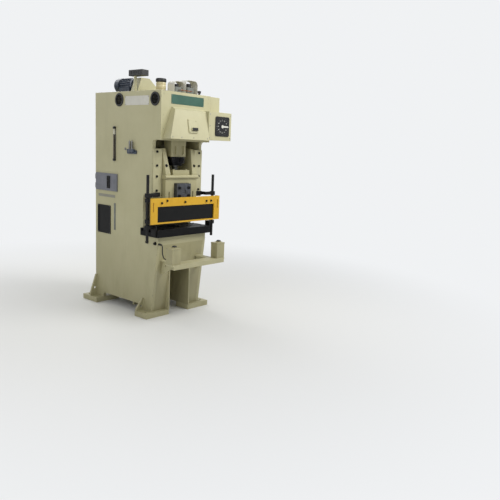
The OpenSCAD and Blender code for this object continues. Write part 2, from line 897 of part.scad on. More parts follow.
// Wedge cut off the front of the ears, from a height up to the slide's top
module ear_slope(z0) {
    along_x(-slide_w / 2 - eps, slide_w / 2 + eps)
        polygon([[fy(slide_front - eps), z0], [fy(slide_front), z0], [fy(slide_front + ear_back), slide_top],
                 [fy(slide_front + ear_back), slide_top + eps], [fy(slide_front - eps), slide_top + eps]]);
}

// Pocket for the ball end, with room for the open pivot of the linkage
module ball_pocket() {
    r = ball_r + ball_gap;
    for (x = [0, throw]) rod_z(x, axis_d, ball_z - ball_r - 10, floor_z + eps, r);
    block([0, fy(axis_d - r), ball_z - ball_r - 10], [throw, fy(axis_d + r), floor_z + eps]);
}

// Split cap that clamps the die shank
module shank_clamp() {
    color(grey) difference() {
        block([-clamp_w / 2, fy(slide_front - clamp_out), slide_z],
              [clamp_w / 2, fy(slide_front + 8), slide_z + clamp_top]);
        for (x = [-clamp_bolt_x, clamp_bolt_x], z = [clamp_bolt_z, clamp_bolt_z + clamp_bolt_gap])
            rod_y(x, slide_z + z, slide_front - clamp_out - eps, slide_front + 9, 9);
        block([-26, fy(slide_front - clamp_out - eps), slide_z + 60],
              [26, fy(slide_front - clamp_out + 8), slide_z + 98]);
    }
}

module shank_bolts() {
    color(steel) for (x = [-clamp_bolt_x, clamp_bolt_x], z = [clamp_bolt_z, clamp_bolt_z + clamp_bolt_gap]) {
        rod_y(x, slide_z + z, slide_front - clamp_out, slide_front + 8, 8.5);
        head_y(x, slide_front - clamp_out, slide_z + z, 15, 11);
    }
}

// Cap that holds the ball in the slide
module ball_cap() {
    r = screw_r + 3;
    color(cream) difference() {
        union() {
            block([-cap_w / 2, fy(axis_d - cap_d / 2), floor_z],
                  [cap_w / 2 + 12, fy(axis_d + cap_d / 2), floor_z + cap_t]);
            for (x = [24 - cap_w / 2, cap_w / 2 - 12], d = [22 - cap_d / 2, cap_d / 2 - 22])
                rod_z(x, axis_d + d, floor_z + cap_t - eps, floor_z + cap_t + 8, 11);
        }
        for (x = [0, throw]) rod_z(x, axis_d, floor_z - eps, floor_z + cap_t + eps, r);
        block([0, fy(axis_d - r), floor_z - eps], [throw, fy(axis_d + r), floor_z + cap_t + eps]);
    }
}

// Crankshaft with its eccentric at the top of the stroke
module crankshaft() {
    color(steel) union() {
        rod_y(0, crank_z, -shaft_out, axis_d - rod_w / 2 - 2, journal_r);
        rod_y(0, crank_z, axis_d - rod_w / 2 - 2, axis_d + rod_w / 2 + 2, journal_r);
        rod_y(0, crank_z + throw, axis_d - rod_w / 2, axis_d + rod_w / 2, eccentric_r);
        rod_y(0, crank_z, axis_d + rod_w / 2 + 2, rear_d + rear_len + 6, journal_r);
    }
}

module main_bushes() {
    r0 = journal_r + bearing_gap;
    color(bronze) for (span = [[0, front_bearing], [middle_d, middle_back], [rear_d, rear_d + rear_len]]) difference() {
        rod_y(0, crank_z, span[0], span[1], bore_r - bearing_gap);
        rod_y(0, crank_z, span[0] - eps, span[1] + eps, r0);
    }
}

module connecting_rod() {
    d0 = axis_d - rod_w / 2;
    color(cream) difference() {
        along_y(d0, d0 + rod_w) {
            translate([0, crank_z + throw]) circle(rod_r);
            polygon([[-rod_foot, rod_z], [rod_foot, rod_z], [rod_foot, rod_z + 90],
                     [rod_r * 0.86, crank_z + throw - 40], [-rod_r * 0.86, crank_z + throw - 40],
                     [-rod_foot, rod_z + 90]]);
        }
        rod_y(0, crank_z + throw, d0 - eps, d0 + rod_w + eps, eccentric_r + rod_bush_t);
        rod_z(0, axis_d, rod_z - eps, rod_z + 120, screw_r + bearing_gap);
        for (side = [-1, 1]) along_y(d0 - eps, d0 + 12)
            translate([side * 48, rod_z + 62]) round_rect(36, 84, 10);
    }
}

module rod_bush() {
    d0 = axis_d - rod_w / 2;
    color(bronze) difference() {
        rod_y(0, crank_z + throw, d0, d0 + rod_w, eccentric_r + rod_bush_t - bearing_gap);
        rod_y(0, crank_z + throw, d0 - eps, d0 + rod_w + eps, eccentric_r + bearing_gap);
    }
}

// Adjusting screw with its ball end and a few thread collars
module ball_screw() {
    color(steel) union() {
        translate([0, fy(axis_d), ball_z]) sphere(ball_r);
        rod_z(0, axis_d, ball_z, rod_z + 118, screw_r - 2);
        rod_z(0, axis_d, rod_z - nut_h - 26, rod_z, screw_r);
        rod_z(0, axis_d, rod_z - 1, rod_z + 118, screw_r);
    }
}

// Lock nut with driving notches round its rim and a worm collar below
module lock_nut() {
    z0 = rod_z - nut_h;
    color(black) difference() {
        union() {
            rod_z(0, axis_d, z0 + collar_in, rod_z, nut_r);
            rod_z(0, axis_d, z0, z0 + collar_in, nut_r - collar_in);
        }
        rod_z(0, axis_d, z0 - eps, rod_z + eps, screw_r + bearing_gap);
        for (i = [0 : notch_n - 1]) translate([0, fy(axis_d), 0]) rotate([0, 0, (i + 0.5) * 360 / notch_n])
            translate([nut_r - 9, -8, z0 + 40]) cube([20, 16, 30]);
    }
}

// Flywheel with belt grooves, web and hub
module flywheel() {
    groove = belt_w + 1;
    color(dark) difference() {
        translate([0, fy(fly_d), crank_z]) rotate([90, 0, 0]) rotate_extrude($fn = 96) difference() {
            union() {
                translate([fly_r - rim_t, -fly_w / 2]) square([rim_t, fly_w]);
                translate([journal_r + 10, -fly_web_t / 2]) square([fly_r - rim_t - journal_r, fly_web_t]);
                translate([journal_r + bearing_gap, -fly_w / 2]) square([hub_t, fly_w]);
            }
            for (i = [0 : belts_n - 1])
                translate([fly_r - belt_t - 1, belt_y(i) - groove / 2]) square([belt_t + 2, groove]);
        }
        for (i = [0 : 5]) translate([0, fy(fly_d), crank_z]) rotate([0, i * 60, 0])
            translate([lighten_at, fly_web_t, 0]) rotate([90, 0, 0]) cylinder(h = 2 * fly_web_t, r = lighten_r);
    }
}

function belt_y(i) = (i - (belts_n - 1) / 2) * (belt_w + belt_gap);

module clutch_brake() {
    color(grey) difference() {
        union() {
            rod_y(0, crank_z, clutch_d, clutch_d + clutch_w * 0.4, clutch_r);
            rod_y(0, crank_z, clutch_d + clutch_w * 0.4, clutch_d + clutch_w * 0.6, clutch_r - 26);
            rod_y(0, crank_z, clutch_d + clutch_w * 0.6, clutch_d + clutch_w, clutch_r - 8);
        }
        rod_y(0, crank_z, clutch_d - eps, clutch_d + clutch_w + eps, journal_r + bearing_gap);
    }
}

// Points along an arc about a centre
function arc(c, r, a0, a1, n) = [for (k = [0 : n]) let (a = a0 + (a1 - a0) * k / n) c + r * [cos(a), sin(a)]];

// The outline round two pulleys, for the outside and the inside of a belt
module belt_outline(r_big, r_small) {
    far = [-motor_x, motor_z - crank_z];
    aim = atan2(far[1], far[0]);
    lean = acos((r_big - r_small) / norm(far));
    translate([0, crank_z])
        polygon(concat(arc([0, 0], r_big, aim + lean, aim + 360 - lean, 60),
                       arc(far, r_small, aim - lean, aim + lean, 18)));
}

module drive_belts() {
    lift = 0.4;
    color(black) for (i = [0 : belts_n - 1]) {
        d = fly_d + belt_y(i);
        along_y(d - belt_w / 2, d + belt_w / 2) difference() {
            belt_outline(fly_r - 1 + lift, pulley_r - 1 + lift);
            belt_outline(fly_r - belt_t - 1 + lift, pulley_r - belt_t - 1 + lift);
        }
    }
}

// Motor body with feet and straight cooling fins
module motor_body() {
    d0 = motor_d;
    color(dark) union() {
        rod_y(-motor_x, motor_z, d0, d0 + motor_l, motor_r);
        rod_y(-motor_x, motor_z, d0 - 6, d0 + 18, motor_r + fin_h);
        for (i = [0 : 17]) translate([-motor_x, fy(d0 + 17), motor_z]) rotate([0, i * 20, 0])
            translate([motor_r - 2, 0, -1.5]) cube([fin_h + 2, motor_l - 20, 3]);
        for (side = [-1, 1]) block([-motor_x + side * 52 - 20, fy(d0 + 20), frame_h + base_t],
                                   [-motor_x + side * 52 + 20, fy(d0 + motor_l - 20), motor_z - 26]);
    }
}

module fan_cowl() {
    d0 = motor_d + motor_l;
    r = motor_r + fin_h + 2;
    color(dark) difference() {
        union() {
            rod_y(-motor_x, motor_z, d0, d0 + cowl_l - 14, r);
            translate([-motor_x, fy(d0 + cowl_l - 14), motor_z]) rotate([90, 0, 180])
                rotate_extrude() intersection() {
                    translate([r - 14, 0]) circle(14);
                    square([r, 14]);
                }
            rod_y(-motor_x, motor_z, d0 + cowl_l - 15, d0 + cowl_l, r - 14);
        }
        for (n = [1 : 3], i = [0 : 5 + 5 * n]) translate([-motor_x, 0, motor_z])
            rotate([0, i * 360 / (6 + 5 * n), 0]) rod_y(n * 14, 0, d0 + cowl_l - 8, d0 + cowl_l + eps, 4);
    }
}

module motor_base() {
    d0 = motor_d - 10;
    color(cream) difference() {
        block([-motor_x - base_w / 2, fy(d0), frame_h],
              [-motor_x + base_w / 2, fy(d0 + motor_l + 20), frame_h + base_t]);
        for (x = [11 - base_w / 2, base_w / 2 - 11], d = [30, motor_l - 10])
            rod_z(-motor_x + x, d0 + d, frame_h - eps, frame_h + base_t + eps, 5.5);
    }
}

// Motor shaft end with its grooved pulley
module motor_pulley() {
    groove = belt_w + 1;
    width = fly_w * 0.7;
    color(steel) union() {
        translate([-motor_x, fy(fly_d), motor_z]) rotate([90, 0, 0]) rotate_extrude() difference() {
            translate([0, -width / 2]) square([pulley_r, width]);
            for (i = [0 : belts_n - 1]) translate([pulley_r - belt_t - 1, belt_y(i) - groove / 2])
                square([belt_t + 2, groove]);
        }
        rod_y(-motor_x, motor_z, fly_d + width / 2 - 1, motor_d - 6.3, shaft_r);
    }
}

// Outline of the belt guard, for a wall inset
module guard_outline(inset) {
    x0 = belt_left - 4 + inset;
    x1 = belt_right + 4 - inset;
    top = motor_z + 60 - inset;
    half = guard_top - inset * 0.7;
    polygon([[x0, frame_h], [x1, frame_h], [x1, frame_h + skirt_h], [half - motor_x, top],
             [-half - motor_x, top], [x0, frame_h + skirt_h]]);
}

// Bent sheet guard over the belts on top of the crown
module belt_guard() {
    color(cream) difference() {
        along_y(fly_d - guard_half, fly_d + guard_half) guard_outline(0);
        along_y(fly_d - guard_half + sheet_t, fly_d + guard_half - sheet_t) {
            guard_outline(sheet_t);
            translate([belt_left - 4 + sheet_t, frame_h - eps])
                square([belt_right - belt_left + 8 - 2 * sheet_t, 2]);
        }
        rod_y(-motor_x, motor_z, fly_d + guard_half - sheet_t - eps, fly_d + guard_half + eps, shaft_r + 6);
    }
}

// Flat box on a pipe above the motor
module terminal_box() {
    z = frame_h + term_z;
    x0 = -term_x - term_w / 2;
    pipe_x = x0 + pipe_r + 11;
    pipe_d = term_d + term_l * 0.657;
    color(black) difference() {
        block([x0, fy(term_d), z], [x0 + term_w, fy(term_d + term_l), z + term_t]);
        for (i = [0 : 3]) translate([x0 - eps, fy(term_d + 34 + i * 36), z + 15]) cube([4, 20, term_t - 30]);
    }
    color(cream) union() {
        rod_z(pipe_x, pipe_d, frame_h, z, pipe_r);
        rod_z(pipe_x, pipe_d, frame_h, frame_h + 8, pipe_r + 5);
    }
}

// Front view of the crown cover, for a wall inset
module cover_front(inset) {
    polygon([[-cover_left + inset, cover_z + inset], [cover_right - inset, cover_z + inset],
             [cover_right - inset, cover_top - inset], [-cover_top_left + inset, cover_top - inset]]);
}

// Side view of the crown cover, for a wall inset
module cover_side(inset) {
    back = inset > 0 ? eps : 0;
    polygon([[fy(back), cover_z + inset], [fy(-cover_out + inset), cover_z + inset],
             [fy(-cover_in + inset), cover_top - cover_slope - inset * 0.5],
             [fy(back), cover_top - inset * 1.2]]);
}

// Folded cover over the front end of the crankshaft
module crown_cover() {
    color(cream) difference() {
        intersection() {
            along_y(-cover_out, 0) cover_front(0);
            along_x(-cover_left, cover_right) cover_side(0);
        }
        intersection() {
            along_y(-cover_out - eps, eps) cover_front(sheet_t);
            along_x(-cover_left, cover_right) cover_side(sheet_t);
        }
    }
}

// Raised inspection hatch with its pull hood, on the slope of the cover
module cover_hatch() {
    z0 = cover_z + hatch_z;
    h = hatch_h;
    x0 = -hatch_w / 2 - 2;
    lean = atan2(cover_out - cover_in, cover_h - cover_slope);
    place = -cover_out + hatch_z * tan(lean);
    color(cream) translate([0, fy(place), z0]) rotate([-lean, 0, 0]) difference() {
        union() {
            translate([x0, -10, 0]) cube([hatch_w, 10, h]);
            translate([x0 + 30, -24, 20]) cube([hatch_w - 34, 15, 26]);
        }
        translate([x0 + 36, -20, 19]) cube([hatch_w - 46, 12, 22]);
    }
    color(steel) for (x = [x0 + 10, x0 + hatch_w - 10], z = [12, h - 12]) translate([x, fy(place), z0])
        rotate([-lean, 0, 0]) translate([0, -10, z]) rotate([90, 0, 0]) cylinder(h = 3, r = 4.5);
}

module dial_box() {
    x0 = cover_right + 2;
    z0 = cover_z + 8;
    color(cream) difference() {
        block([x0, fy(-dial_box_d), z0], [x0 + dial_box_w, fy(0), z0 + dial_box_h]);
        block([x0 + sheet_t, fy(-dial_box_d + sheet_t), z0 + sheet_t],
              [x0 + dial_box_w - sheet_t, fy(eps), z0 + dial_box_h - sheet_t]);
        rod_y(dial_x, dial_z, -dial_box_d - eps, -dial_box_d + sheet_t + eps, 12);
    }
    color(steel) for (z = [z0 + 24, dial_z, z0 + dial_box_h - 24])
        rod_y(x0 + 16, z, -dial_box_d - 3, -dial_box_d, 5);
}

// Dial plate with raised ticks, one every fifteen degrees
module dial_plate() {
    d = -dial_box_d;
    color(black) difference() {
        along_y(d - 5, d) translate([dial_x, dial_z]) round_rect(dial_w, dial_w * 0.96, dial_r);
        rod_y(dial_x, dial_z, d - 6, d + eps, 12);
    }
    color(white) for (i = [0 : 23]) translate([dial_x, fy(d - 5), dial_z]) rotate([0, i * 15, 0])
        translate([dial_w * 0.39, -1, -1.5]) cube([i % 2 == 0 ? 12 : 7, 1, 3]);
}

module dial_pointer() {
    d = -dial_box_d - 6.5;
    color(white) union() {
        along_y(d - 3, d) translate([dial_x, dial_z]) {
            circle(16);
            polygon([[0, -8], [pointer_l - 16, -8], [pointer_l, 0], [pointer_l - 16, 8], [0, 8]]);
        }
        rod_y(dial_x, dial_z, d - eps, -dial_box_d + 40, 11.7);
    }
}

// Box on the right flank of the crown, behind the dial box
module side_box() {
    z0 = cover_z + 8;
    x1 = out_x + side_box_w;
    color(cream) difference() {
        block([out_x, fy(0), z0], [x1, fy(side_box_d), frame_h - 4]);
        block([out_x - eps, fy(sheet_t), z0 + sheet_t],
              [x1 - sheet_t, fy(side_box_d - sheet_t), frame_h - 4 - sheet_t]);
    }
    color(cream) difference() {
        block([x1, fy(24), z0 + 24], [x1 + 4, fy(side_box_d - 24), frame_h - 28]);
        for (z = [z0 + 60, frame_h - 64]) rod_x(x1 + 2, x1 + 5, side_box_d - 44, z, 9);
    }
}

// Round louvred vents, two on each side plate
module side_vents() {
    color(black) for (side = [-1, 1], d = vent_ds) mirror([side < 0 ? 1 : 0, 0, 0])
        translate([out_x, fy(d), vent_z]) rotate([0, 90, 0]) vent();
}

module vent() {
    inner = vent_r - 12.3;
    difference() {
        union() {
            cylinder(h = 8, r = vent_r);
            translate([0, 0, -8]) cylinder(h = 9, r = inner);
        }
        translate([0, 0, -9]) cylinder(h = 18, r = inner - 4);
    }
    step = 2 * inner / (slats_n + 1);
    intersection() {
        translate([0, 0, -8]) cylinder(h = 14, r = inner - 3);
        for (i = [1 : slats_n]) translate([inner - i * step, 0, -1]) rotate([0, 32, 0])
            cube([2.5, 2 * inner, 16], center = true);
    }
}

// Blank plates on the side and on the front of the crown
module blank_plates() {
    color(white) block([-out_x - 2, fy(badge_d - badge_w / 2), vent_z - 11 - badge_h / 2],
                       [-out_x, fy(badge_d + badge_w / 2), vent_z - 11 + badge_h / 2]);
    color(green) block([12 - green_w / 2, fy(-2), frame_h - 26 - green_h],
                       [12 + green_w / 2, fy(0), frame_h - 26]);
}

// Upright sight tube with its end blocks
module oil_gauge() {
    z0 = crown_z - 218;
    color(black) union() {
        rod_z(-out_x - 12, gauge_d, z0 + 16, z0 + gauge_h - 16, gauge_r);
        for (z = [z0, z0 + gauge_h - gauge_block])
            block([-out_x - gauge_block, fy(gauge_d - gauge_block / 2), z],
                  [-out_x, fy(gauge_d + gauge_block / 2), z + gauge_block]);
    }
}

// Hand grease pump with two cylinders
module hand_pump() {
    color(grey) union() {
        block([-out_x - 14, fy(pump_d - 67), crown_z - 140], [-out_x, fy(pump_d + 67), crown_z - 106]);
        for (d = [pump_d - pump_gap / 2, pump_d + pump_gap / 2]) {
            rod_z(-out_x - 22, d, crown_z - 130, crown_z - 24, pump_r);
            rod_z(-out_x - 22, d, crown_z - 25, crown_z - 12, pump_r - 6);
        }
        block([-out_x - 30, fy(pump_d - 49), crown_z - 122], [-out_x - 13, fy(pump_d + 49), crown_z - 96]);
    }
}

// Grey door of the service bay, hinged at its rear edge
module service_door() {
    x1 = -out_x - 0.3;
    color(grey) difference() {
        union() {
            block([x1 - 13, fy(door_d), door_z - door_h / 2], [x1, fy(door_d + door_w), door_z + door_h / 2]);
            for (z = hinge_zs) {
                rod_z(hinge_x, hinge_d, z - 14, z + 14, knuckle_r);
                block([hinge_x - knuckle_r, fy(door_d + door_w - eps), z - 14], [hinge_x, fy(hinge_d), z + 14]);
            }
        }
        for (z = hinge_zs) rod_z(hinge_x, hinge_d, z - 15, z + 15, pin_r + bearing_gap);
    }
}

// Fixed knuckles and pins of the door hinges
module door_hinges() {
    color(steel) for (z = hinge_zs) union() {
        rod_z(hinge_x, hinge_d, z - 26, z + 26, pin_r);
        for (z0 = [z - 26, z + 14.3]) {
            rod_z(hinge_x, hinge_d, z0, z0 + 11.7, knuckle_r);
            block([hinge_x, fy(hinge_d), z0], [-out_x, fy(hinge_d + knuckle_r), z0 + 11.7]);
        }
    }
}

module door_handle() {
    x1 = -out_x - 13.3;
    color(black) difference() {
        block([x1 - 8, fy(door_d + 108), door_z - 62], [x1, fy(door_d + 154), door_z + 62]);
        block([x1 - 9, fy(door_d + 122), door_z - 44], [x1 - 4, fy(door_d + 140), door_z + 44]);
    }
}

// Frame and dark pane of the service window, with the strips beside and above it
module service_window() {
    d0 = view_d - view_w / 2;
    z0 = view_z - view_h / 2;
    color(black) difference() {
        block([-out_x - 6, fy(d0), z0], [-out_x, fy(d0 + view_w), z0 + view_h]);
        block([-out_x - 7, fy(d0 + view_rim), z0 + view_rim],
              [-out_x + eps, fy(d0 + view_w - view_rim), z0 + view_h - view_rim]);
    }
    color(black) block([-out_x, fy(d0 + 10), z0 + 10],
                       [-out_x + 4, fy(d0 + view_w - 10), z0 + view_h - 10]);
    color(white) block([-out_x - 2, fy(d0 - 70), z0 + view_h + 84], [-out_x, fy(d0 + 206), z0 + view_h + 112]);
    color(grey) union() {
        block([-out_x - 3, fy(strip_light_d), strip_light_z],
              [-out_x, fy(strip_light_d + strip_light_w), strip_light_z + strip_light_h]);
        for (z = [strip_light_z + 16, strip_light_z + strip_light_h - 16])
            rod_x(-out_x - 5, -out_x - 2, strip_light_d + strip_light_w / 2, z, 5);
    }
}

module oil_reservoir() {
    color(cream) union() {
        rod_z(-tank_x, tank_d, frame_h, frame_h + tank_h, tank_r);
        rod_z(-tank_x, tank_d, frame_h, frame_h + 8, tank_r + 11);
    }
    color(black) rod_z(-tank_x, tank_d, frame_h + tank_h, frame_h + tank_h + tank_cap_h, tank_r + 3);
}

// One bent hood: left edge, setback of its middle, width and height
module hood(x, d, w, h) {
    along_y(d - hood_d / 2, d + hood_d / 2) translate([x, frame_h]) difference() {
        hood_shape(w, h, hood_r, 0);
        hood_shape(w, h, hood_r, sheet_t);
        translate([-eps, -h]) square([w + 2, h]);
    }
}

// Outline of a hood, for a wall inset
module hood_shape(w, h, r, inset) {
    translate([inset, -eps]) square([w - 2 * inset, h - r + eps]);
    translate([r, h - r - eps]) square([w - 2 * r, r + eps - inset]);
    for (x = [r, w - r]) translate([x, h - r]) circle(r - inset);
}

module valve_hoods() {
    color(white) hood(-hood_x, hood_one_d, hood_w, hood_h);
    color(white) hood(hood_two_x, hood_two_d, hood_two_w, hood_two_h);
}

// A valve block with its round coil
module valve(x, d, h, coil_r, coil_h) {
    color(black) union() {
        block([x - valve_w / 2, fy(d - 32), frame_h], [x + valve_w / 2, fy(d + 32), frame_h + h]);
        rod_z(x, d, frame_h + h - eps, frame_h + h + coil_h, coil_r);
    }
}

// Air valves under the hoods and the small breather at the front corner
module air_valves() {
    valve(hood_w / 2 - hood_x, hood_one_d, valve_h, coil_r, 26);
    valve(hood_two_x + hood_two_w / 2, hood_two_d, valve_two_h, coil_two_r, 34);
    color(black) union() {
        rod_z(breather_x, 60, frame_h, frame_h + 22, breather_r - 7);
        rod_z(breather_x, 60, frame_h + 21, frame_h + 42, breather_r);
    }
}

module guard_posts() {
    color(black) for (side = [-1, 1])
        rod_z(side * post_x, post_d, post_z, post_z + post_h, post_r);
}

// Arms that carry the posts, at the guides and at the bolster
module guard_arms() {
    color(black) for (side = [-1, 1]) mirror([side < 0 ? 1 : 0, 0, 0]) {
        arm(gib_z + 12, out_x - 78, column_d - gib_t);
        foot_arm();
    }
}

// Upper arm with its clamp ring
module arm(z, x, d) {
    difference() {
        union() {
            block([x, fy(d - arm_t), z], [out_x + 2, fy(d), z + arm_h]);
            block([out_x + 1, fy(post_d - 14), z + 4], [post_x, fy(post_d + 14), z + arm_h - 4]);
            block([out_x + 1, fy(post_d - 14), z + 4], [out_x + 26, fy(d), z + arm_h - 4]);
            rod_z(post_x, post_d, z, z + arm_h, post_r + ring_t);
        }
        rod_z(post_x, post_d, z - eps, z + arm_h + eps, post_r + bearing_gap);
    }
}

// Lower clamp, fixed to the end of the bolster
module foot_arm() {
    x = bolster_w / 2;
    z = bolster_top + 11;
    difference() {
        union() {
            block([x, fy(post_d - 46), bed_z + 12], [x + 14, fy(post_d + 18), z + 34]);
            block([x + 13, fy(post_d - 15), z], [post_x, fy(post_d + 15), z + 34]);
            rod_z(post_x, post_d, z, z + 34, post_r + ring_t);
        }
        rod_z(post_x, post_d, z - eps, z + 35, post_r + bearing_gap);
    }
}

// Swinging gate: frame, closing wing on the right and the two hinge clamps on the left post
module guard_gate() {
    x0 = -gate_w / 2;
    d = -gate_out;
    color(yellow) difference() {
        union() {
            block([x0, fy(d - gate_t), gate_z], [x0 + upright_w, fy(d), gate_z + gate_h]);
            block([-x0 - upright_w, fy(d - gate_t), gate_z], [-x0, fy(d), gate_z + gate_h]);
            block([x0, fy(d - gate_t), gate_z + gate_h - rail_h], [-x0, fy(d), gate_z + gate_h]);
            block([x0 + upright_w - eps, fy(d - gate_t), gate_z], [-x0 - upright_w + eps, fy(d), gate_z + 14]);
            block([-x0 - wing_t, fy(d - eps), gate_z], [-x0, fy(post_d - 22), gate_z + gate_h]);
            for (z = [gate_z + 6, gate_z + gate_h - clamp_h - 6]) {
                rod_z(-post_x, post_d, z, z + clamp_h, post_r + 12);
                block([-post_x - hinge_w / 2, fy(d - eps), z], [-post_x + hinge_w / 2, fy(post_d), z + clamp_h]);
            }
        }
        for (x = [x0 + 28, -x0 - 28])
            along_y(d - gate_t - eps, d + eps) translate([x, gate_z + gate_h * 0.66]) round_rect(11, 86, 5);
        rod_z(-post_x, post_d, gate_z - eps, gate_z + gate_h + eps, post_r + bearing_gap);
    }
}

// Dark pane behind the gate frame
module gate_window() {
    x0 = gate_w / 2 - upright_w + 8;
    d = -gate_out;
    color(black) block([-x0, fy(d), gate_z + 4], [x0, fy(d + 5), gate_z + gate_h - rail_h + 10]);
}

module gate_bolts() {
    d = -gate_out - gate_t;
    inner = gate_bolt_x - gate_bolt_step;
    color(black) for (x = [-gate_bolt_x, -inner, -30, inner, gate_bolt_x]) {
        z = gate_z + gate_h - rail_h / 2 - (x == -inner ? -14 : 6);
        head_y(x, d, z, gate_bolt_r, 9);
        rod_y(x, z, d - 14, d - 8, 6);
    }
}

// Setback of the sloping front of the bed at a height
function slope_d(z) = bed_d + (toe_d - bed_d) * (bend_z - z) / (bend_z - pad_t) - 0.3;

// Front bar with a folded lip, carried on two bracketed arms in front of the bed
module control_shelf() {
    d = bed_d - shelf_d;
    low = shelf_z - 130;
    web_in = shelf_arm_x - 10;
    color(cream) difference() {
        union() {
            translate([0, fy(d + bar_d / 2), shelf_z]) linear_extrude(shelf_t) round_rect(shelf_w, bar_d, bar_r);
            block([bar_r - shelf_w / 2, fy(d), shelf_z - lip_h],
                  [shelf_w / 2 - bar_r, fy(d + shelf_t / 2), shelf_z + eps]);
            for (side = [-1, 1]) mirror([side < 0 ? 1 : 0, 0, 0]) {
                block([shelf_arm_x - shelf_arm_w / 2, fy(d + bar_d / 2), shelf_z],
                      [shelf_arm_x + shelf_arm_w / 2, fy(slope_d(shelf_top)), shelf_top]);
                along_x(web_in, web_in + 20)
                    polygon([[fy(d + 40), shelf_z + eps], [fy(slope_d(shelf_z)), shelf_z + eps],
                             [fy(slope_d(low)), low], [fy(slope_d(low) - 14), low]]);
            }
        }
        for (side = [-1, 1]) mirror([side < 0 ? 1 : 0, 0, 0])
            rod_x(web_in - eps, web_in + 21, -10, shelf_z - 40, 12);
    }
}

// The two button boxes, each with its collar, and the cable glands
module button_boxes() {
    d = box_back - box_d / 2;
    top = shelf_top + box_h;
    color(cream) for (side = [-1, 1]) {
        x = side * box_x;
        difference() {
            union() {
                block([x - box_w / 2, fy(d - box_d / 2), shelf_top], [x + box_w / 2, fy(d + box_d / 2), top - 12]);
                block([x - box_w / 2 - 2, fy(d - box_d / 2 - 2), top - 12],
                      [x + box_w / 2 + 2, fy(d + box_d / 2 + 2), top]);
                rod_z(x + palm_x, d, top - eps, top + 8, palm_r + rim_w);
            }
            rod_z(x + palm_x, d, top - 20, top + 9, 9);
            rod_z(x + palm_x, d, top + 2, top + 9, palm_r + 1);
            block([x - box_w / 2 + sheet_t, fy(d - box_d / 2 + sheet_t), shelf_top - eps],
                  [x + box_w / 2 - sheet_t, fy(d + box_d / 2 - sheet_t), top - sheet_t]);
        }
    }
    color(black) rod_y(CABLE[5][0], CABLE[5][2], box_back, CABLE[5][1], 9);
    color(black) rod_y(CABLE[0][0], CABLE[0][2], CABLE[0][1], bed_d, 9);
}

// A palm button: stem, disc and domed top
module palm_button(side) {
    x = side * box_x + palm_x;
    d = box_back - box_d / 2;
    z = shelf_top + box_h + 3 + press_h;
    color(black) union() {
        rod_z(x, d, z - 20, z + 1, 8.6);
        translate([x, fy(d), z]) rotate_extrude() union() {
            square([palm_r, 7]);
            intersection() {
                translate([0, 7 - palm_r * 1.4]) circle(palm_r * 1.72);
                square([palm_r, 20]);
            }
        }
    }
}

module palm_left() {
    palm_button(-1);
}

module palm_right() {
    palm_button(1);
}

// A point and its direction on the cable, by a smooth curve through its route
function spline(p, i, t) = let (
    a = p[max(i - 1, 0)], b = p[i], c = p[i + 1], e = p[min(i + 2, len(p) - 1)])
    b + t * (c - a) / 2 + t * t * (2 * a - 5 * b + 4 * c - e) / 2 + t * t * t * (3 * b - a - 3 * c + e) / 2;
function unit(v) = v / norm(v);

module button_cable() {
    steps = 4;
    sides = 8;
    route = [for (i = [0 : len(CABLE) - 2], k = [0 : steps - 1]) spline(CABLE, i, k / steps),
             CABLE[len(CABLE) - 1]];
    n = len(route);
    points = [for (i = [0 : n - 1]) let (
        dir = i == 0 || i == n - 1 ? [0, -1, 0] : unit(route[i + 1] - route[i - 1]),
        u = unit(cross(dir, [1, 0, 0])), v = cross(dir, u))
        for (k = [0 : sides - 1])
            route[i] + [0, front_y, 0] + cable_r * (cos(k * 360 / sides) * u + sin(k * 360 / sides) * v)];
    walls = [for (i = [0 : n - 2], k = [0 : sides - 1]) let (j = (k + 1) % sides)
        [i * sides + k, i * sides + j, (i + 1) * sides + j, (i + 1) * sides + k]];
    caps = [[for (k = [sides - 1 : -1 : 0]) k], [for (k = [0 : sides - 1]) (n - 1) * sides + k]];
    color(black) polyhedron(points, concat(walls, caps));
}

side_plate_left();
side_plate_right();
crown_plates();
back_web();
rear_web();
bed_plates();
foot_pads();
rear_cover();
bolster();
bolster_bolts();
guide_left();
guide_right();
guide_liners();
guide_bolts();
slide();
shank_clamp();
shank_bolts();
ball_cap();
crankshaft();
main_bushes();
connecting_rod();
rod_bush();
ball_screw();
lock_nut();
flywheel();
clutch_brake();
drive_belts();
motor_body();
fan_cowl();
motor_base();
motor_pulley();
belt_guard();
terminal_box();
crown_cover();
cover_hatch();
dial_box();
dial_plate();
dial_pointer();
side_box();
side_vents();
blank_plates();
oil_gauge();
hand_pump();
service_door();
door_handle();
door_hinges();
service_window();
oil_reservoir();
valve_hoods();
air_valves();
guard_posts();
guard_arms();
guard_gate();
gate_window();
gate_bolts();
control_shelf();
button_boxes();
palm_left();
palm_right();
button_cable();
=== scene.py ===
import itertools
import json
import math
import bpy
import bmesh
from mathutils import Matrix, Vector

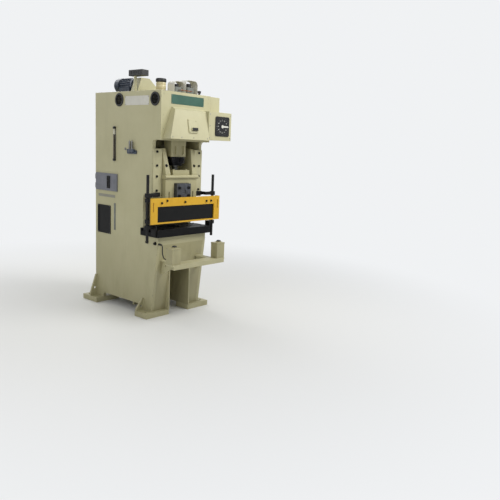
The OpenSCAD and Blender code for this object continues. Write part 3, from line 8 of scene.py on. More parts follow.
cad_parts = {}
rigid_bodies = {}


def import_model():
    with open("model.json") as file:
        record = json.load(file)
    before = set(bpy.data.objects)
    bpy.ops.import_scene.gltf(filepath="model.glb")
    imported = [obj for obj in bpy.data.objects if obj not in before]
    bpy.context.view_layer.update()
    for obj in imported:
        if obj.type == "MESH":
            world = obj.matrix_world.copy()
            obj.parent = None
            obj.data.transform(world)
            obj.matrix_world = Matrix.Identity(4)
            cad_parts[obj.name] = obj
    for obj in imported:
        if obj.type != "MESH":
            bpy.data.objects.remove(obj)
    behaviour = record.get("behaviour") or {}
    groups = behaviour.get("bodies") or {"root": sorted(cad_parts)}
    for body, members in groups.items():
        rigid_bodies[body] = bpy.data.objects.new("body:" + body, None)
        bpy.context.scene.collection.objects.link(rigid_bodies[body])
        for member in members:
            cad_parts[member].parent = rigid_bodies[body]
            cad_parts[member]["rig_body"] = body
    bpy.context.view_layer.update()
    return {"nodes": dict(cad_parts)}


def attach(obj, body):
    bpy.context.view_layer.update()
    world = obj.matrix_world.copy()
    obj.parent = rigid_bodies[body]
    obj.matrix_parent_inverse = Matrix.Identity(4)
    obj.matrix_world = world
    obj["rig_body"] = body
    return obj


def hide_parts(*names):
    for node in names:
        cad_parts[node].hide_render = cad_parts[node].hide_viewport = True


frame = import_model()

mm = 0.001
crownFront = 580  # the crown's front stands this far before the frame's origin, in mm
print("the packed press is loaded")


def paint(hexCode):  # an sRGB hex colour as linear values
    parts = [int(hexCode[i:i + 2], 16) / 255 for i in (1, 3, 5)]
    return [p / 12.92 if p <= 0.04045 else ((p + 0.055) / 1.055) ** 2.4 for p in parts] + [1.0]


mixUnder, mixOver, mixResult = 6, 7, 2  # the colour sockets of a Mix node


def addNode(mat, kind, props=None, values=None, links=None):
    node = mat.node_tree.nodes.new("ShaderNode" + kind)
    for key, value in (props or {}).items():
        setattr(node, key, value)
    for key, value in (values or {}).items():
        node.inputs[key].default_value = value
    for key, (source, output) in (links or {}).items():
        mat.node_tree.links.new(source.outputs[output], node.inputs[key])
    return node


def band(limits, end="From"):  # the two settings of a Map Range node that a pair of limits gives
    return {end + " Min": limits[0], end + " Max": limits[1]}


def newMaterial(name):
    mat = bpy.data.materials.new(name)
    mat.use_nodes = True
    mat.node_tree.nodes.clear()
    return mat


# The camera of the photograph, found from the press's own corners: metres, degrees and a lens in mm
cameraFit = {"place": (-3.763, -4.602, 1.632), "yaw": 49.87, "pitch": 10.02, "roll": 2.58, "lens": 41.0,
             "sensor": 36}
yaw, pitch, roll = (math.radians(cameraFit[k]) for k in ("yaw", "pitch", "roll"))
forward = Vector((math.sin(yaw) * math.cos(pitch), math.cos(yaw) * math.cos(pitch), -math.sin(pitch)))
level = Vector((math.cos(yaw), -math.sin(yaw), 0))
up = level.cross(forward)
right = math.cos(roll) * level + math.sin(roll) * up
up = -math.sin(roll) * level + math.cos(roll) * up
turned = Matrix((right, up, -forward)).transposed().to_4x4()
lens = bpy.data.cameras.new("photoCamera")
lens.lens = cameraFit["lens"]
lens.sensor_width = cameraFit["sensor"]
camera = bpy.data.objects.new("photoCamera", lens)
camera.matrix_world = Matrix.Translation(cameraFit["place"]) @ turned
bpy.context.scene.collection.objects.link(camera)
bpy.context.scene.camera = camera
bpy.context.scene.view_settings.view_transform = "Standard"
print("the camera stands where the photographer stood")


# Sizes that end in Mm are real ones in mm, lowFrom and the depths of bumps are in metres,
# and each pair holds the limits between which a noise pattern takes hold.
enamelLook = {
    "colour": "#b9b48e", "faded": "#c2bd99", "patchMm": 420, "patchBand": (0.3, 0.7),
    "grimeColour": "#77704f", "grime": 0.14, "runMm": 140, "runStretch": 0.24, "runBand": (0.52, 0.85),
    "lowFrom": 0.95, "settledAndShade": (0.3, 0.66), "grimeDulls": 0.22,
    "chipColour": "#6f6e66", "chipMm": 26, "chipBand": (0.57, 0.6),
    "peelMm": 3.2, "peel": 0.16, "peelDepth": 0.0006, "waveMm": 130, "wave": 0.25, "waveDepth": 0.004,
    "rough": 0.4, "ior": 1.5, "sheen": 0.5}
metalLook = {"stretch": (1, 1, 1), "filmBand": (0.36, 0.68), "metal": 1.0, "bump": 0.25, "depth": 0.0004,
             "sheen": 0.5}
plasticLook = {"dust": 0.4, "dustMm": 60, "dustBand": (0.42, 0.8), "bump": 0.05, "depth": 0.0003,
               "sheen": 0.5}


def bodyPaint(name, **changes):
    # Two-pack machine enamel, sprayed over welded steel plate: a slightly uneven satin skin with
    # orange peel, oily grime that runs down, darkening towards the floor that is grime that settles
    # and painted shade of the low light, and chips to grey primer on the arrises.
    look = {**enamelLook, **changes}
    mat = newMaterial(name)
    place = addNode(mat, "TexCoord")
    patches = addNode(mat, "TexNoise",
                      values={"Scale": 1000 / look["patchMm"], "Detail": 4, "Roughness": 0.6},
                      links={"Vector": (place, "Object")})
    patchAmount = addNode(mat, "MapRange", values=band(look["patchBand"]), links={"Value": (patches, "Fac")})
    base = addNode(mat, "Mix", {"data_type": "RGBA"},
                   {mixUnder: paint(look["colour"]), mixOver: paint(look["faded"])},
                   {"Factor": (patchAmount, "Result")})
    # runs of grime: noise drawn out in height
    runPlace = addNode(mat, "Mapping", values={"Scale": (1, 1, look["runStretch"])},
                       links={"Vector": (place, "Object")})
    runs = addNode(mat, "TexNoise", values={"Scale": 1000 / look["runMm"], "Detail": 6, "Roughness": 0.68},
                   links={"Vector": (runPlace, "Vector")})
    runMask = addNode(mat, "MapRange", values={**band(look["runBand"]), "To Max": look["grime"]},
                      links={"Value": (runs, "Fac")})
    # grime that settles and painted shade of the low light: none at lowFrom, most at the floor
    height = addNode(mat, "SeparateXYZ", links={"Vector": (place, "Object")})
    lowPart = addNode(mat, "MapRange", values=band((look["lowFrom"], 0)), links={"Value": (height, "Z")})
    settledAndShade = addNode(mat, "MapRange", values=band(look["settledAndShade"], "To"), links={"Value": (runs, "Fac")})
    lowGrimeAndShade = addNode(mat, "Math", {"operation": "MULTIPLY"}, None,
                        {0: (lowPart, "Result"), 1: (settledAndShade, "Result")})
    # the runs of grime and the low painted shade together
    grimeAndShadeMask = addNode(mat, "Math", {"operation": "ADD", "use_clamp": True}, None,
                   {0: (runMask, "Result"), 1: (lowGrimeAndShade, "Value")})
    grimedAndShaded = addNode(mat, "Mix", {"data_type": "RGBA"}, {mixOver: paint(look["grimeColour"])},
                    {"Factor": (grimeAndShadeMask, "Value"), mixUnder: (base, mixResult)})
    # chips where the bevelled arrises were knocked
    arris = addNode(mat, "Attribute", {"attribute_name": "arris"})
    chipNoise = addNode(mat, "TexNoise",
                        values={"Scale": 1000 / look["chipMm"], "Detail": 5, "Roughness": 0.7},
                        links={"Vector": (place, "Object")})
    chipMask = addNode(mat, "MapRange", values=band(look["chipBand"]), links={"Value": (chipNoise, "Fac")})
    chips = addNode(mat, "Math", {"operation": "MULTIPLY"}, None,
                    {0: (arris, "Fac"), 1: (chipMask, "Result")})
    colour = addNode(mat, "Mix", {"data_type": "RGBA"}, {mixOver: paint(look["chipColour"])},
                     {"Factor": (chips, "Value"), mixUnder: (grimedAndShaded, mixResult)})
    roughBase = addNode(mat, "MapRange", values=band((look["rough"] - 0.06, look["rough"] + 0.1), "To"),
                        links={"Value": (patches, "Fac")})
    rough = addNode(mat, "Math", {"operation": "MULTIPLY_ADD", "use_clamp": True}, {1: look["grimeDulls"]},
                    {0: (grimeAndShadeMask, "Value"), 2: (roughBase, "Result")})
    # orange peel over the slow waves of filler
    peel = addNode(mat, "TexNoise", values={"Scale": 1000 / look["peelMm"], "Detail": 2},
                   links={"Vector": (place, "Object")})
    waves = addNode(mat, "TexNoise", values={"Scale": 1000 / look["waveMm"], "Detail": 1},
                    links={"Vector": (place, "Object")})
    waveBump = addNode(mat, "Bump", values={"Strength": look["wave"], "Distance": look["waveDepth"]},
                       links={"Height": (waves, "Fac")})
    peelBump = addNode(mat, "Bump", values={"Strength": look["peel"], "Distance": look["peelDepth"]},
                       links={"Height": (peel, "Fac"), "Normal": (waveBump, "Normal")})
    shader = addNode(mat, "BsdfPrincipled",
                     values={"IOR": look["ior"], "Specular IOR Level": look["sheen"]},
                     links={"Base Color": (colour, mixResult), "Roughness": (rough, "Value"),
                            "Normal": (peelBump, "Normal")})
    addNode(mat, "OutputMaterial", links={"Surface": (shader, "BSDF")})
    return mat


def bareMetal(name, **changes):
    # Bare or blacked machine steel, iron or bronze: tool marks along one axis, oil film and dull patches.
    look = {**metalLook, **changes}
    mat = newMaterial(name)
    place = addNode(mat, "TexCoord")
    marksPlace = addNode(mat, "Mapping", values={"Scale": look["stretch"]},
                         links={"Vector": (place, "Object")})
    marks = addNode(mat, "TexNoise", values={"Scale": 1000 / look["markMm"], "Detail": 4, "Roughness": 0.65},
                    links={"Vector": (marksPlace, "Vector")})
    film = addNode(mat, "TexNoise", values={"Scale": 1000 / look["filmMm"], "Detail": 5, "Roughness": 0.6},
                   links={"Vector": (place, "Object")})
    filmMask = addNode(mat, "MapRange", values=band(look["filmBand"]), links={"Value": (film, "Fac")})
    colour = addNode(mat, "Mix", {"data_type": "RGBA"},
                     {mixUnder: paint(look["colour"]), mixOver: paint(look["filmColour"])},
                     {"Factor": (filmMask, "Result")})
    # arrises rubbed bright; on the turned nut they are also a painted highlight
    arris = addNode(mat, "Attribute", {"attribute_name": "arris"})
    edgeWearAndHighlight = addNode(mat, "Math", {"operation": "MULTIPLY"}, None, {0: (arris, "Fac"), 1: (marks, "Fac")})
    bright = addNode(mat, "Mix", {"data_type": "RGBA"}, {mixOver: paint(look["edgeColour"])},
                     {"Factor": (edgeWearAndHighlight, "Value"), mixUnder: (colour, mixResult)})
    rough = addNode(mat, "MapRange", values=band((look["rough"] - 0.1, look["rough"] + 0.14), "To"),
                    links={"Value": (film, "Fac")})
    bump = addNode(mat, "Bump", values={"Strength": look["bump"], "Distance": look["depth"]},
                   links={"Height": (marks, "Fac")})
    shader = addNode(mat, "BsdfPrincipled",
                     values={"Metallic": look["metal"], "Specular IOR Level": look["sheen"]},
                     links={"Base Color": (bright, mixResult), "Roughness": (rough, "Result"),
                            "Normal": (bump, "Normal")})
    addNode(mat, "OutputMaterial", links={"Surface": (shader, "BSDF")})
    return mat


def mouldedPlastic(name, **changes):
    # Moulded plastic, sheet, rubber or printed ink: a fine grain and a dusty bloom.
    look = {**plasticLook, **changes}
    mat = newMaterial(name)
    place = addNode(mat, "TexCoord")
    grain = addNode(mat, "TexNoise", values={"Scale": 1000 / look["grainMm"], "Detail": 3},
                    links={"Vector": (place, "Object")})
    dust = addNode(mat, "TexNoise", values={"Scale": 1000 / look["dustMm"], "Detail": 6, "Roughness": 0.65},
                   links={"Vector": (place, "Object")})
    dustMask = addNode(mat, "MapRange", values={**band(look["dustBand"]), "To Max": look["dust"]},
                       links={"Value": (dust, "Fac")})
    colour = addNode(mat, "Mix", {"data_type": "RGBA"},
                     {mixUnder: paint(look["colour"]), mixOver: paint(look["dustColour"])},
                     {"Factor": (dustMask, "Result")})
    rough = addNode(mat, "MapRange", values=band((look["rough"] - 0.05, look["rough"] + 0.15), "To"),
                    links={"Value": (dust, "Fac")})
    bump = addNode(mat, "Bump", values={"Strength": look["bump"], "Distance": look["depth"]},
                   links={"Height": (grain, "Fac")})
    shader = addNode(mat, "BsdfPrincipled",
                     values={"IOR": look["ior"], "Specular IOR Level": look["sheen"]},
                     links={"Base Color": (colour, mixResult), "Roughness": (rough, "Result"),
                            "Normal": (bump, "Normal")})
    addNode(mat, "OutputMaterial", links={"Surface": (shader, "BSDF")})
    return mat


finishes = {
    # pale khaki-cream machine enamel, clean and slightly uneven
    "cream": bodyPaint("CreamEnamelSprayed"),
    # the same enamel, darker: dulled by oil mist and hands, and darkened as painted shade of the
    # recesses, inner webs and throat it is used in, and of the hand-button boxes
    "creamInside": bodyPaint("CreamEnamelOilyShaded", colour="#a8a27b", faded="#b2ac86", grime=0.34,
                             grimeColour="#67604a", rough=0.34),
    # strong safety yellow, chipped to dark steel
    "yellow": bodyPaint("GuardYellowEnamelSprayed", colour="#d3a01c", faded="#dbad30", grimeColour="#7d5c1a",
                        chipColour="#3d3a34", grime=0.28, patchMm=160, runMm=45, rough=0.36),
    # brushed black that takes little light
    "blackPaint": bodyPaint("BlackEnamelBrushed", colour="#0c0c0e", faded="#131315", grimeColour="#29261f",
                            chipColour="#6d6e70", grime=0.4, patchMm=90, runMm=50, rough=0.44, sheen=0.3),
    # dark blue of the motor under dust and oil
    "motorBlue": bodyPaint("MotorEnamelDarkBlue", colour="#1a2433", faded="#223045", grimeColour="#3a382f",
                           chipColour="#8a8b8c", grime=0.5, patchMm=90, runMm=40, rough=0.42),
    # cool grey of the side door
    "greyPaint": bodyPaint("GreyEnamelSprayed", colour="#6e7077", faded="#7e7f87", grimeColour="#4e4c40",
                           patchMm=100, runMm=40, rough=0.42),
    # neutral greys of small strips and plates
    "stripGrey": bodyPaint("GreyEnamelSheet", colour="#6d716c", faded="#7b7f79", grimeColour="#3f3d34",
                           patchMm=90, runMm=40, rough=0.4),
    "plateGrey": bodyPaint("GreyEnamelPlate", colour="#8f8d80", faded="#9b998c", grimeColour="#57544a",
                           patchMm=60, runMm=30, rough=0.42),
    # soiled white of hoods, blank plate and pointer
    "whitePaint": bodyPaint("WhiteEnamelSprayed", colour="#cfcdc2", faded="#dad8ce", grimeColour="#7d776a",
                            patchMm=80, runMm=40),
    # deep green of the blank plate on the crown
    "greenPaint": bodyPaint("GreenEnamelPlate", colour="#2c5547", faded="#375f50", grimeColour="#23352c",
                            chipColour="#9a9c98", patchMm=90, runMm=40, grime=0.2),
    # blue-grey of the pump's casting
    "pumpBlue": bodyPaint("BlueGreyEnamelCast", colour="#3d4654", faded="#4a5361", grimeColour="#2a2a28",
                          chipColour="#8c8d8e", patchMm=60, runMm=30, rough=0.42),
    # blacked plate, milled along its length, almost black with oil
    "bolsterSteel": bareMetal("BlackedSteelPlateOily", colour="#101113", filmColour="#08080a",
                              edgeColour="#66686b", stretch=(0.12, 1, 1), markMm=2.6, filmMm=70, metal=0.45,
                              rough=0.5, sheen=0.3),
    # bright ground steel with upright marks under an oil film
    "groundSteel": bareMetal("GroundSteelOiled", colour="#8e9092", filmColour="#6a6862", edgeColour="#c9cacb",
                             stretch=(1, 1, 0.1), markMm=2.2, filmMm=45, rough=0.32),
    # darker milled block
    "clampSteel": bareMetal("MilledSteelBlock", colour="#65686f", filmColour="#4b4b49", edgeColour="#b5b6b8",
                            stretch=(1, 1, 0.2), markMm=3, filmMm=40, metal=0.9, rough=0.42),
    # black socket and hexagon screws
    "blackBolt": bareMetal("BlackOxideSteelForged", colour="#1b1b1d", filmColour="#0f0f10",
                           edgeColour="#6c6d6f", markMm=3, filmMm=20, metal=0.8, rough=0.42, bump=0.2),
    # turned nut, black with oil; its bright corners are a painted highlight as well as wear
    "nutSteel": bareMetal("BlackedSteelTurnedOily", colour="#1a1a1c", filmColour="#0c0c0e",
                          edgeColour="#9b9da0", stretch=(1, 1, 0.4), markMm=3, filmMm=30, metal=0.85,
                          rough=0.26, bump=0.15),
    # pale plated screws
    "zincScrew": bareMetal("ZincPlatedSteel", colour="#a7a9ab", filmColour="#7c7b76", edgeColour="#d0d1d2",
                           markMm=2, filmMm=18, rough=0.36, bump=0.15),
    # warm bearing bronze
    "bronze": bareMetal("CastBronzeBoredOily", colour="#a47a3e", filmColour="#6d4f28", edgeColour="#d5ad6c",
                        stretch=(1, 0.15, 1), markMm=2.4, filmMm=40, rough=0.36, bump=0.2),
    # drawn copper, browned
    "copper": bareMetal("CopperTubeDrawn", colour="#a2654a", filmColour="#5e3f30", edgeColour="#c98e70",
                        markMm=3, filmMm=30, rough=0.36, bump=0.1),
    # sandy skin of cast iron under grease
    "castIron": bareMetal("CastIronSkinGreased", colour="#4c4e50", filmColour="#2f302f", edgeColour="#94979a",
                          markMm=4, filmMm=60, metal=0.85, rough=0.5, bump=0.5),
    # brushed sheet of the gauge's scale
    "aluminiumPlate": bareMetal("AluminiumSheetBrushed", colour="#b3b5b2", filmColour="#8f8f88",
                                edgeColour="#d6d7d6", stretch=(0.1, 0.1, 1), markMm=1.8, filmMm=60, rough=0.4,
                                bump=0.12),
    # dull black rubber of belts and cord
    "rubber": mouldedPlastic("MouldedRubberBlack", colour="#101010", dustColour="#3b382f", grainMm=1.6,
                             bump=0.2, rough=0.62, ior=1.52),
    # satin black with a spark-eroded grain
    "blackPlastic": mouldedPlastic("ABSMouldedBlack", colour="#0d0d0f", dustColour="#3a3934", dust=0.3,
                                   grainMm=1.4, bump=0.15, rough=0.4, ior=1.54),
    # glossy black sheet of the dial
    "dialBlack": mouldedPlastic("AcrylicSheetBlack", colour="#08080a", dustColour="#2b2b2a", dust=0.18,
                                grainMm=3, bump=0.03, rough=0.2, ior=1.49),
    # smoked panes that show no light behind them
    "smokedPane": mouldedPlastic("PolycarbonateSmoked", colour="#060708", dustColour="#171614", dust=0.25,
                                 grainMm=8, bump=0.03, rough=0.26, sheen=0.25, ior=1.58),
    # milky bottle with oil in it
    "oilBottle": mouldedPlastic("PolyethyleneBottleNatural", colour="#cfc39a", dustColour="#8a7a55",
                                grainMm=5, bump=0.08, rough=0.34, ior=1.51),
    # tube below the oil level, and above it
    "sightTube": mouldedPlastic("PolyamideTubeOilStained", colour="#3a3020", dustColour="#14110c", dust=0.8,
                                grainMm=5, bump=0.08, rough=0.22, ior=1.53),
    "clearTube": mouldedPlastic("AcrylicTubeHazed", colour="#c9c6b4", dustColour="#8d8974", grainMm=6,
                                rough=0.14, ior=1.49),
    # matt inks of the dial's numbers and of its fine graduations
    "paleMark": mouldedPlastic("ScreenInkPale", colour="#d9d8cf", dustColour="#b0aea2", grainMm=1.2,
                               rough=0.5, ior=1.5),
    "greyMark": mouldedPlastic("ScreenInkGrey", colour="#5c5c58", dustColour="#44433d", grainMm=1.2,
                               rough=0.5, ior=1.5),
}
print("finishes are mixed")


def at(x, setback, z):  # a place in metres from millimetres: sideways, behind the crown's front, height
    return Vector((x * mm, (setback - crownFront) * mm, z * mm))


def facesOf(verts):
    return {face for v in verts for face in v.link_faces}


def addBox(bm, middle, size, turn=Matrix()):  # metres
    return bmesh.ops.create_cube(bm, size=1, matrix=Matrix.Translation(middle) @ turn
                                 @ Matrix.Diagonal((*size, 1)))["verts"]


def breakEdges(bm, edges, width, segments=2, **more):  # a bevel of a width in mm
    return bmesh.ops.bevel(bm, geom=edges, offset=width * mm, affect="EDGES", segments=segments,
                           profile=0.5, material=-1, **more)["faces"]


def finishMesh(bm, name, finish, body, smoothAngle=32):
    mesh = bpy.data.meshes.new(name)
    bm.to_mesh(mesh)
    bm.free()
    for face in mesh.polygons:
        face.use_smooth = True
    mesh.set_sharp_from_angle(angle=math.radians(smoothAngle))
    piece = bpy.data.objects.new(name, mesh)
    bpy.context.scene.collection.objects.link(piece)
    for each in [finish] if isinstance(finish, str) else finish:
        mesh.materials.append(finishes[each])
    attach(piece, body)
    return piece


# How each copy of a solid is dressed: metres and degrees
dressing = {"weld": 2e-6, "flat": 0.6, "arris": 35, "smooth": 40}


def softened(node, finish, width, slotName, regions=()):
    # a welded copy of a solid whose sharp arrises are broken by a small bevel
    source = frame["nodes"][node]
    bm = bmesh.new()
    bm.from_mesh(source.data)
    bmesh.ops.remove_doubles(bm, verts=bm.verts, dist=dressing["weld"])
    bmesh.ops.dissolve_limit(bm, angle_limit=math.radians(dressing["flat"]), verts=bm.verts, edges=bm.edges)
    bmesh.ops.recalc_face_normals(bm, faces=bm.faces)
    sharp = math.radians(dressing["arris"])
    arrises = [e for e in bm.edges if len(e.link_faces) == 2 and e.calc_face_angle(0) > sharp]
    arrisMark = bm.faces.layers.float.new("arris")
    for face in breakEdges(bm, arrises, width, clamp_overlap=True, loop_slide=True):
        face[arrisMark] = 1.0
    for index, (_, inside) in enumerate(regions):
        for face in bm.faces:
            if inside(face.calc_center_median() / mm + Vector((0, crownFront, 0))):
                face.material_index = index + 1
    piece = finishMesh(bm, node + "_made", [finish] + [r[0] for r in regions], source["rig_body"],
                       smoothAngle=dressing["smooth"])
    normals = piece.modifiers.new("evenShading", "WEIGHTED_NORMAL")
    normals.keep_sharp = True
    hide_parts(node)
    return piece


# Each solid: its finish, bevel in mm, the record's slot, and regions with a finish of their own,
# by the place of a face as (sideways, setback, height) in mm.
dressed = {
    "side_plate_left": ("cream", 2.0, "body_paint"), "side_plate_right": ("cream", 2.0, "body_paint"),
    "crown_plates": ("cream", 1.6, "body_paint"),
    "bed_plates": ("cream", 2.0, "body_paint", [  # the recess between the legs, darker enamel as painted shade
        ("creamInside", lambda c: abs(c.x) < 126 and c.z < 441 and c.y > 60)]),
    # the webs behind the throat in the darker enamel: oil grime and painted shade
    "back_web": ("creamInside", 1.6, "body_paint"), "rear_web": ("creamInside", 1.6, "body_paint"),
    "foot_pads": ("cream", 2.0, "body_paint"), "rear_cover": ("cream", 1.0, "body_paint"),
    "bolster": ("bolsterSteel", 1.5, "dark_steel"), "bolster_bolts": ("blackBolt", 0.8, "black_bolt"),
    "guide_left": ("cream", 1.6, "body_paint"), "guide_right": ("cream", 1.6, "body_paint"),
    "guide_liners": ("bronze", 0.5, "bronze"), "guide_bolts": ("blackBolt", 0.8, "black_bolt"),
    # slide, ball cap and rod in the darker enamel: oil and painted shade under the crown
    "slide": ("creamInside", 1.6, "body_paint", [("groundSteel", lambda c: c.z < 1125.6)]),  # bottom face
    "shank_clamp": ("clampSteel", 1.8, "bright_steel"), "shank_bolts": ("blackBolt", 0.8, "bright_steel"),
    "ball_cap": ("creamInside", 1.4, "body_paint"), "connecting_rod": ("creamInside", 1.8, "body_paint"),
    "lock_nut": ("nutSteel", 1.8, "black_steel"), "main_bushes": ("bronze", 0.6, "bronze"),
    "rod_bush": ("bronze", 0.6, "bronze"), "crankshaft": ("groundSteel", 1.2, "bright_steel"),
    "flywheel": ("castIron", 1.2, "flywheel_iron"), "clutch_brake": ("castIron", 1.2, "clutch_metal"),
    "drive_belts": ("rubber", 0.8, "belt_rubber"), "motor_pulley": ("castIron", 0.8, "bright_steel"),
    "motor_body": ("motorBlue", 0.8, "motor_paint"), "fan_cowl": ("motorBlue", 0.8, "motor_paint"),
    "motor_base": ("cream", 1.2, "body_paint"), "belt_guard": ("cream", 1.2, "body_paint"),
    "terminal_box": ("blackPlastic", 1.6, "black_plastic", [("cream", lambda c: c.z < 2269)]),  # its pipe
    "crown_cover": ("cream", 1.0, "body_paint"),
    "cover_hatch": ("cream", 1.4, "body_paint", [  # the inside of its pull recess, painted black as painted shade
        ("blackPaint", lambda c: -18 < c.x < 30 and 1774 < c.z < 1800 and c.y > -114)]),
    "dial_box": ("cream", 1.2, "body_paint", [  # its left screws
        ("zincScrew", lambda c: c.y < -92.3 and abs(c.x - 222) < 6)]),
    "dial_plate": ("dialBlack", 0.6, "black_plastic", [("greyMark", lambda c: c.y < -97.3)]),  # graduations
    "dial_pointer": ("whitePaint", 0.5, "white_paint"), "side_box": ("cream", 1.2, "body_paint"),
    "side_vents": ("blackPlastic", 0.6, "black_plastic"),
    "blank_plates": ("whitePaint", 0.5, "plates", [("greenPaint", lambda c: c.y < 1)]),  # the front one
    "hand_pump": ("pumpBlue", 1.0, "grey_metal", [("groundSteel", lambda c: c.z > 1584.5)]),  # its rods
    "service_door": ("greyPaint", 1.0, "grey_metal"), "door_handle": ("blackPaint", 1.0, "black_steel"),
    "door_hinges": ("zincScrew", 0.4, "bright_steel"),
    "service_window": ("blackPaint", 1.0, "window_frame", [  # pane, strip above it and strip beside it
        ("smokedPane", lambda c: c.x > -313.5 and abs(c.y - 850) < 99 and abs(c.z - 868) < 135),
        ("plateGrey", lambda c: c.z > 1060), ("stripGrey", lambda c: c.y < 690 and c.z < 1046)]),
    "valve_hoods": ("whitePaint", 1.0, "white_paint"),
    "air_valves": ("blackPlastic", 1.0, "black_plastic", [  # the valves' bodies under their coils
        ("stripGrey", lambda c: c.y > 100 and c.z < 2181)]),
    "guard_posts": ("blackPaint", 1.2, "black_steel"), "guard_arms": ("blackPaint", 1.2, "black_steel"),
    "guard_gate": ("yellow", 1.2, "guard_yellow", [  # the two hinge arms
        ("blackPaint", lambda c: c.y > -27.4 and c.x < 0)]),
    "gate_window": ("smokedPane", 0.8, "dark_pane"), "gate_bolts": ("blackBolt", 0.8, "black_bolt"),
    "control_shelf": ("cream", 1.2, "body_paint"),
    # the hand-button boxes in the darker enamel: hand grime and painted shade
    "button_boxes": ("creamInside", 1.6, "body_paint", [  # the cord's gland
        ("blackPlastic", lambda c: c.y > -139.5)]),
}
for node, settings in dressed.items():
    softened(node, *settings)
print("solids are dressed")


# The cord from the left hand-button box into the frame, on the same route as its solid, and its boots
cableRoute = {"points": [(-297, -12, 718), (-300, -34, 706), (-311, -50, 650), (-314, -72, 606),
                         (-304, -96, 590), (-292, -114, 590)], "steps": 4, "diameter": 10}
bootShape = {"directions": [(0, -1, -0.12), (0, 1, 0)], "root": 8, "tip": 5.7, "length": 16, "shift": 6,
             "sides": 24}


def smoothRoute(points, steps):  # a curve through the points
    ends = [points[0]] + points + [points[-1]]
    route = []
    for i in range(len(points) - 1):
        a, b, c, e = ends[i:i + 4]
        for k in range(steps):
            t = k / steps
            route.append(b + t * (c - a) / 2 + t * t * (2 * a - 5 * b + 4 * c - e) / 2
                         + t * t * t * (3 * b - a - 3 * c + e) / 2)
    return route + [points[-1]]


def curveThrough(name, route, radius):
    curve = bpy.data.curves.new(name, "CURVE")
    curve.dimensions = "3D"
    curve.bevel_depth = radius
    curve.bevel_resolution = 4
    curve.use_fill_caps = True
    spline = curve.splines.new("POLY")
    spline.points.add(len(route) - 1)
    for point, place in zip(spline.points, route):
        point.co = (*place, 1)
    spline.use_smooth = True
    return curve


route = smoothRoute([at(*p) for p in cableRoute["points"]], cableRoute["steps"])
cableCurve = curveThrough("buttonCable", route, cableRoute["diameter"] / 2 * mm)
cable = bpy.data.objects.new("button_cable_made", cableCurve)
cable.data.materials.append(finishes["rubber"])
bpy.context.scene.collection.objects.link(cable)
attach(cable, "frame")
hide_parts("button_cable")

bm = bmesh.new()
for place, direction in zip((cableRoute["points"][0], cableRoute["points"][-1]), bootShape["directions"]):
    turn = Vector(direction).to_track_quat("Z", "Y").to_matrix().to_4x4()
    bmesh.ops.create_cone(
        bm, cap_ends=True, segments=bootShape["sides"], radius1=bootShape["root"] * mm,
        radius2=bootShape["tip"] * mm, depth=bootShape["length"] * mm,
        matrix=Matrix.Translation(at(*place)) @ turn @ Matrix.Translation((0, 0, bootShape["shift"] * mm)))
finishMesh(bm, "cable_boots", "rubber", "frame")
print("the cord hangs")


# A screw head's taper, rim and socket depth are shares of its radius and height, its washer is in mm
headShape = {"taper": 0.86, "rim": 0.4, "socket": 0.5, "washer": 2, "washerTaper": 0.06, "washerSides": 24}


def addHead(bm, place, direction, radius, height, sides, washer):
    axis = Vector(direction)
    turn = Matrix.Translation(at(*place)) @ axis.to_track_quat("Z", "Y").to_matrix().to_4x4()
    base = headShape["washer"] if washer else 0
    if washer:
        bmesh.ops.create_cone(bm, cap_ends=True, segments=headShape["washerSides"],
                              radius1=radius * washer * mm,
                              radius2=radius * (washer - headShape["washerTaper"]) * mm, depth=base * mm,
                              matrix=turn @ Matrix.Translation((0, 0, base / 2 * mm)))
    made = bmesh.ops.create_cone(bm, cap_ends=True, segments=sides, radius1=radius * mm,
                                 radius2=radius * headShape["taper"] * mm, depth=height * mm,
                                 matrix=turn @ Matrix.Translation((0, 0, (base + height / 2) * mm)))
    axis.normalize()
    # the outermost face is the cap, which has as many corners as the head has sides
    top = max(facesOf(made["verts"]),
              key=lambda f: f.calc_center_median().dot(axis) + (0.001 if len(f.verts) == sides else 0))
    bmesh.ops.inset_individual(bm, faces=[top], thickness=radius * headShape["rim"] * mm, depth=0)
    bmesh.ops.translate(bm, verts=list(top.verts), vec=-axis * height * headShape["socket"] * mm)


# Screws as one mesh for each group, in grids on faces that are upright, level or lean a little. A row holds
# the face's place on the axis that the screws point along, their places on the other two, direction, and
# head radius and height.
def fasteners(name, finish, slotName, rows, sides=20, washer=0.0, body="frame"):
    bm = bmesh.new()
    for face, firsts, seconds, direction, (radius, height) in rows:
        axis = max(range(3), key=lambda i: abs(direction[i]))
        for pair in itertools.product(firsts, seconds):
            addHead(bm, (*pair[:axis], face, *pair[axis:]), direction, radius, height, sides, washer)
    return finishMesh(bm, name, finish, body, smoothAngle=30)


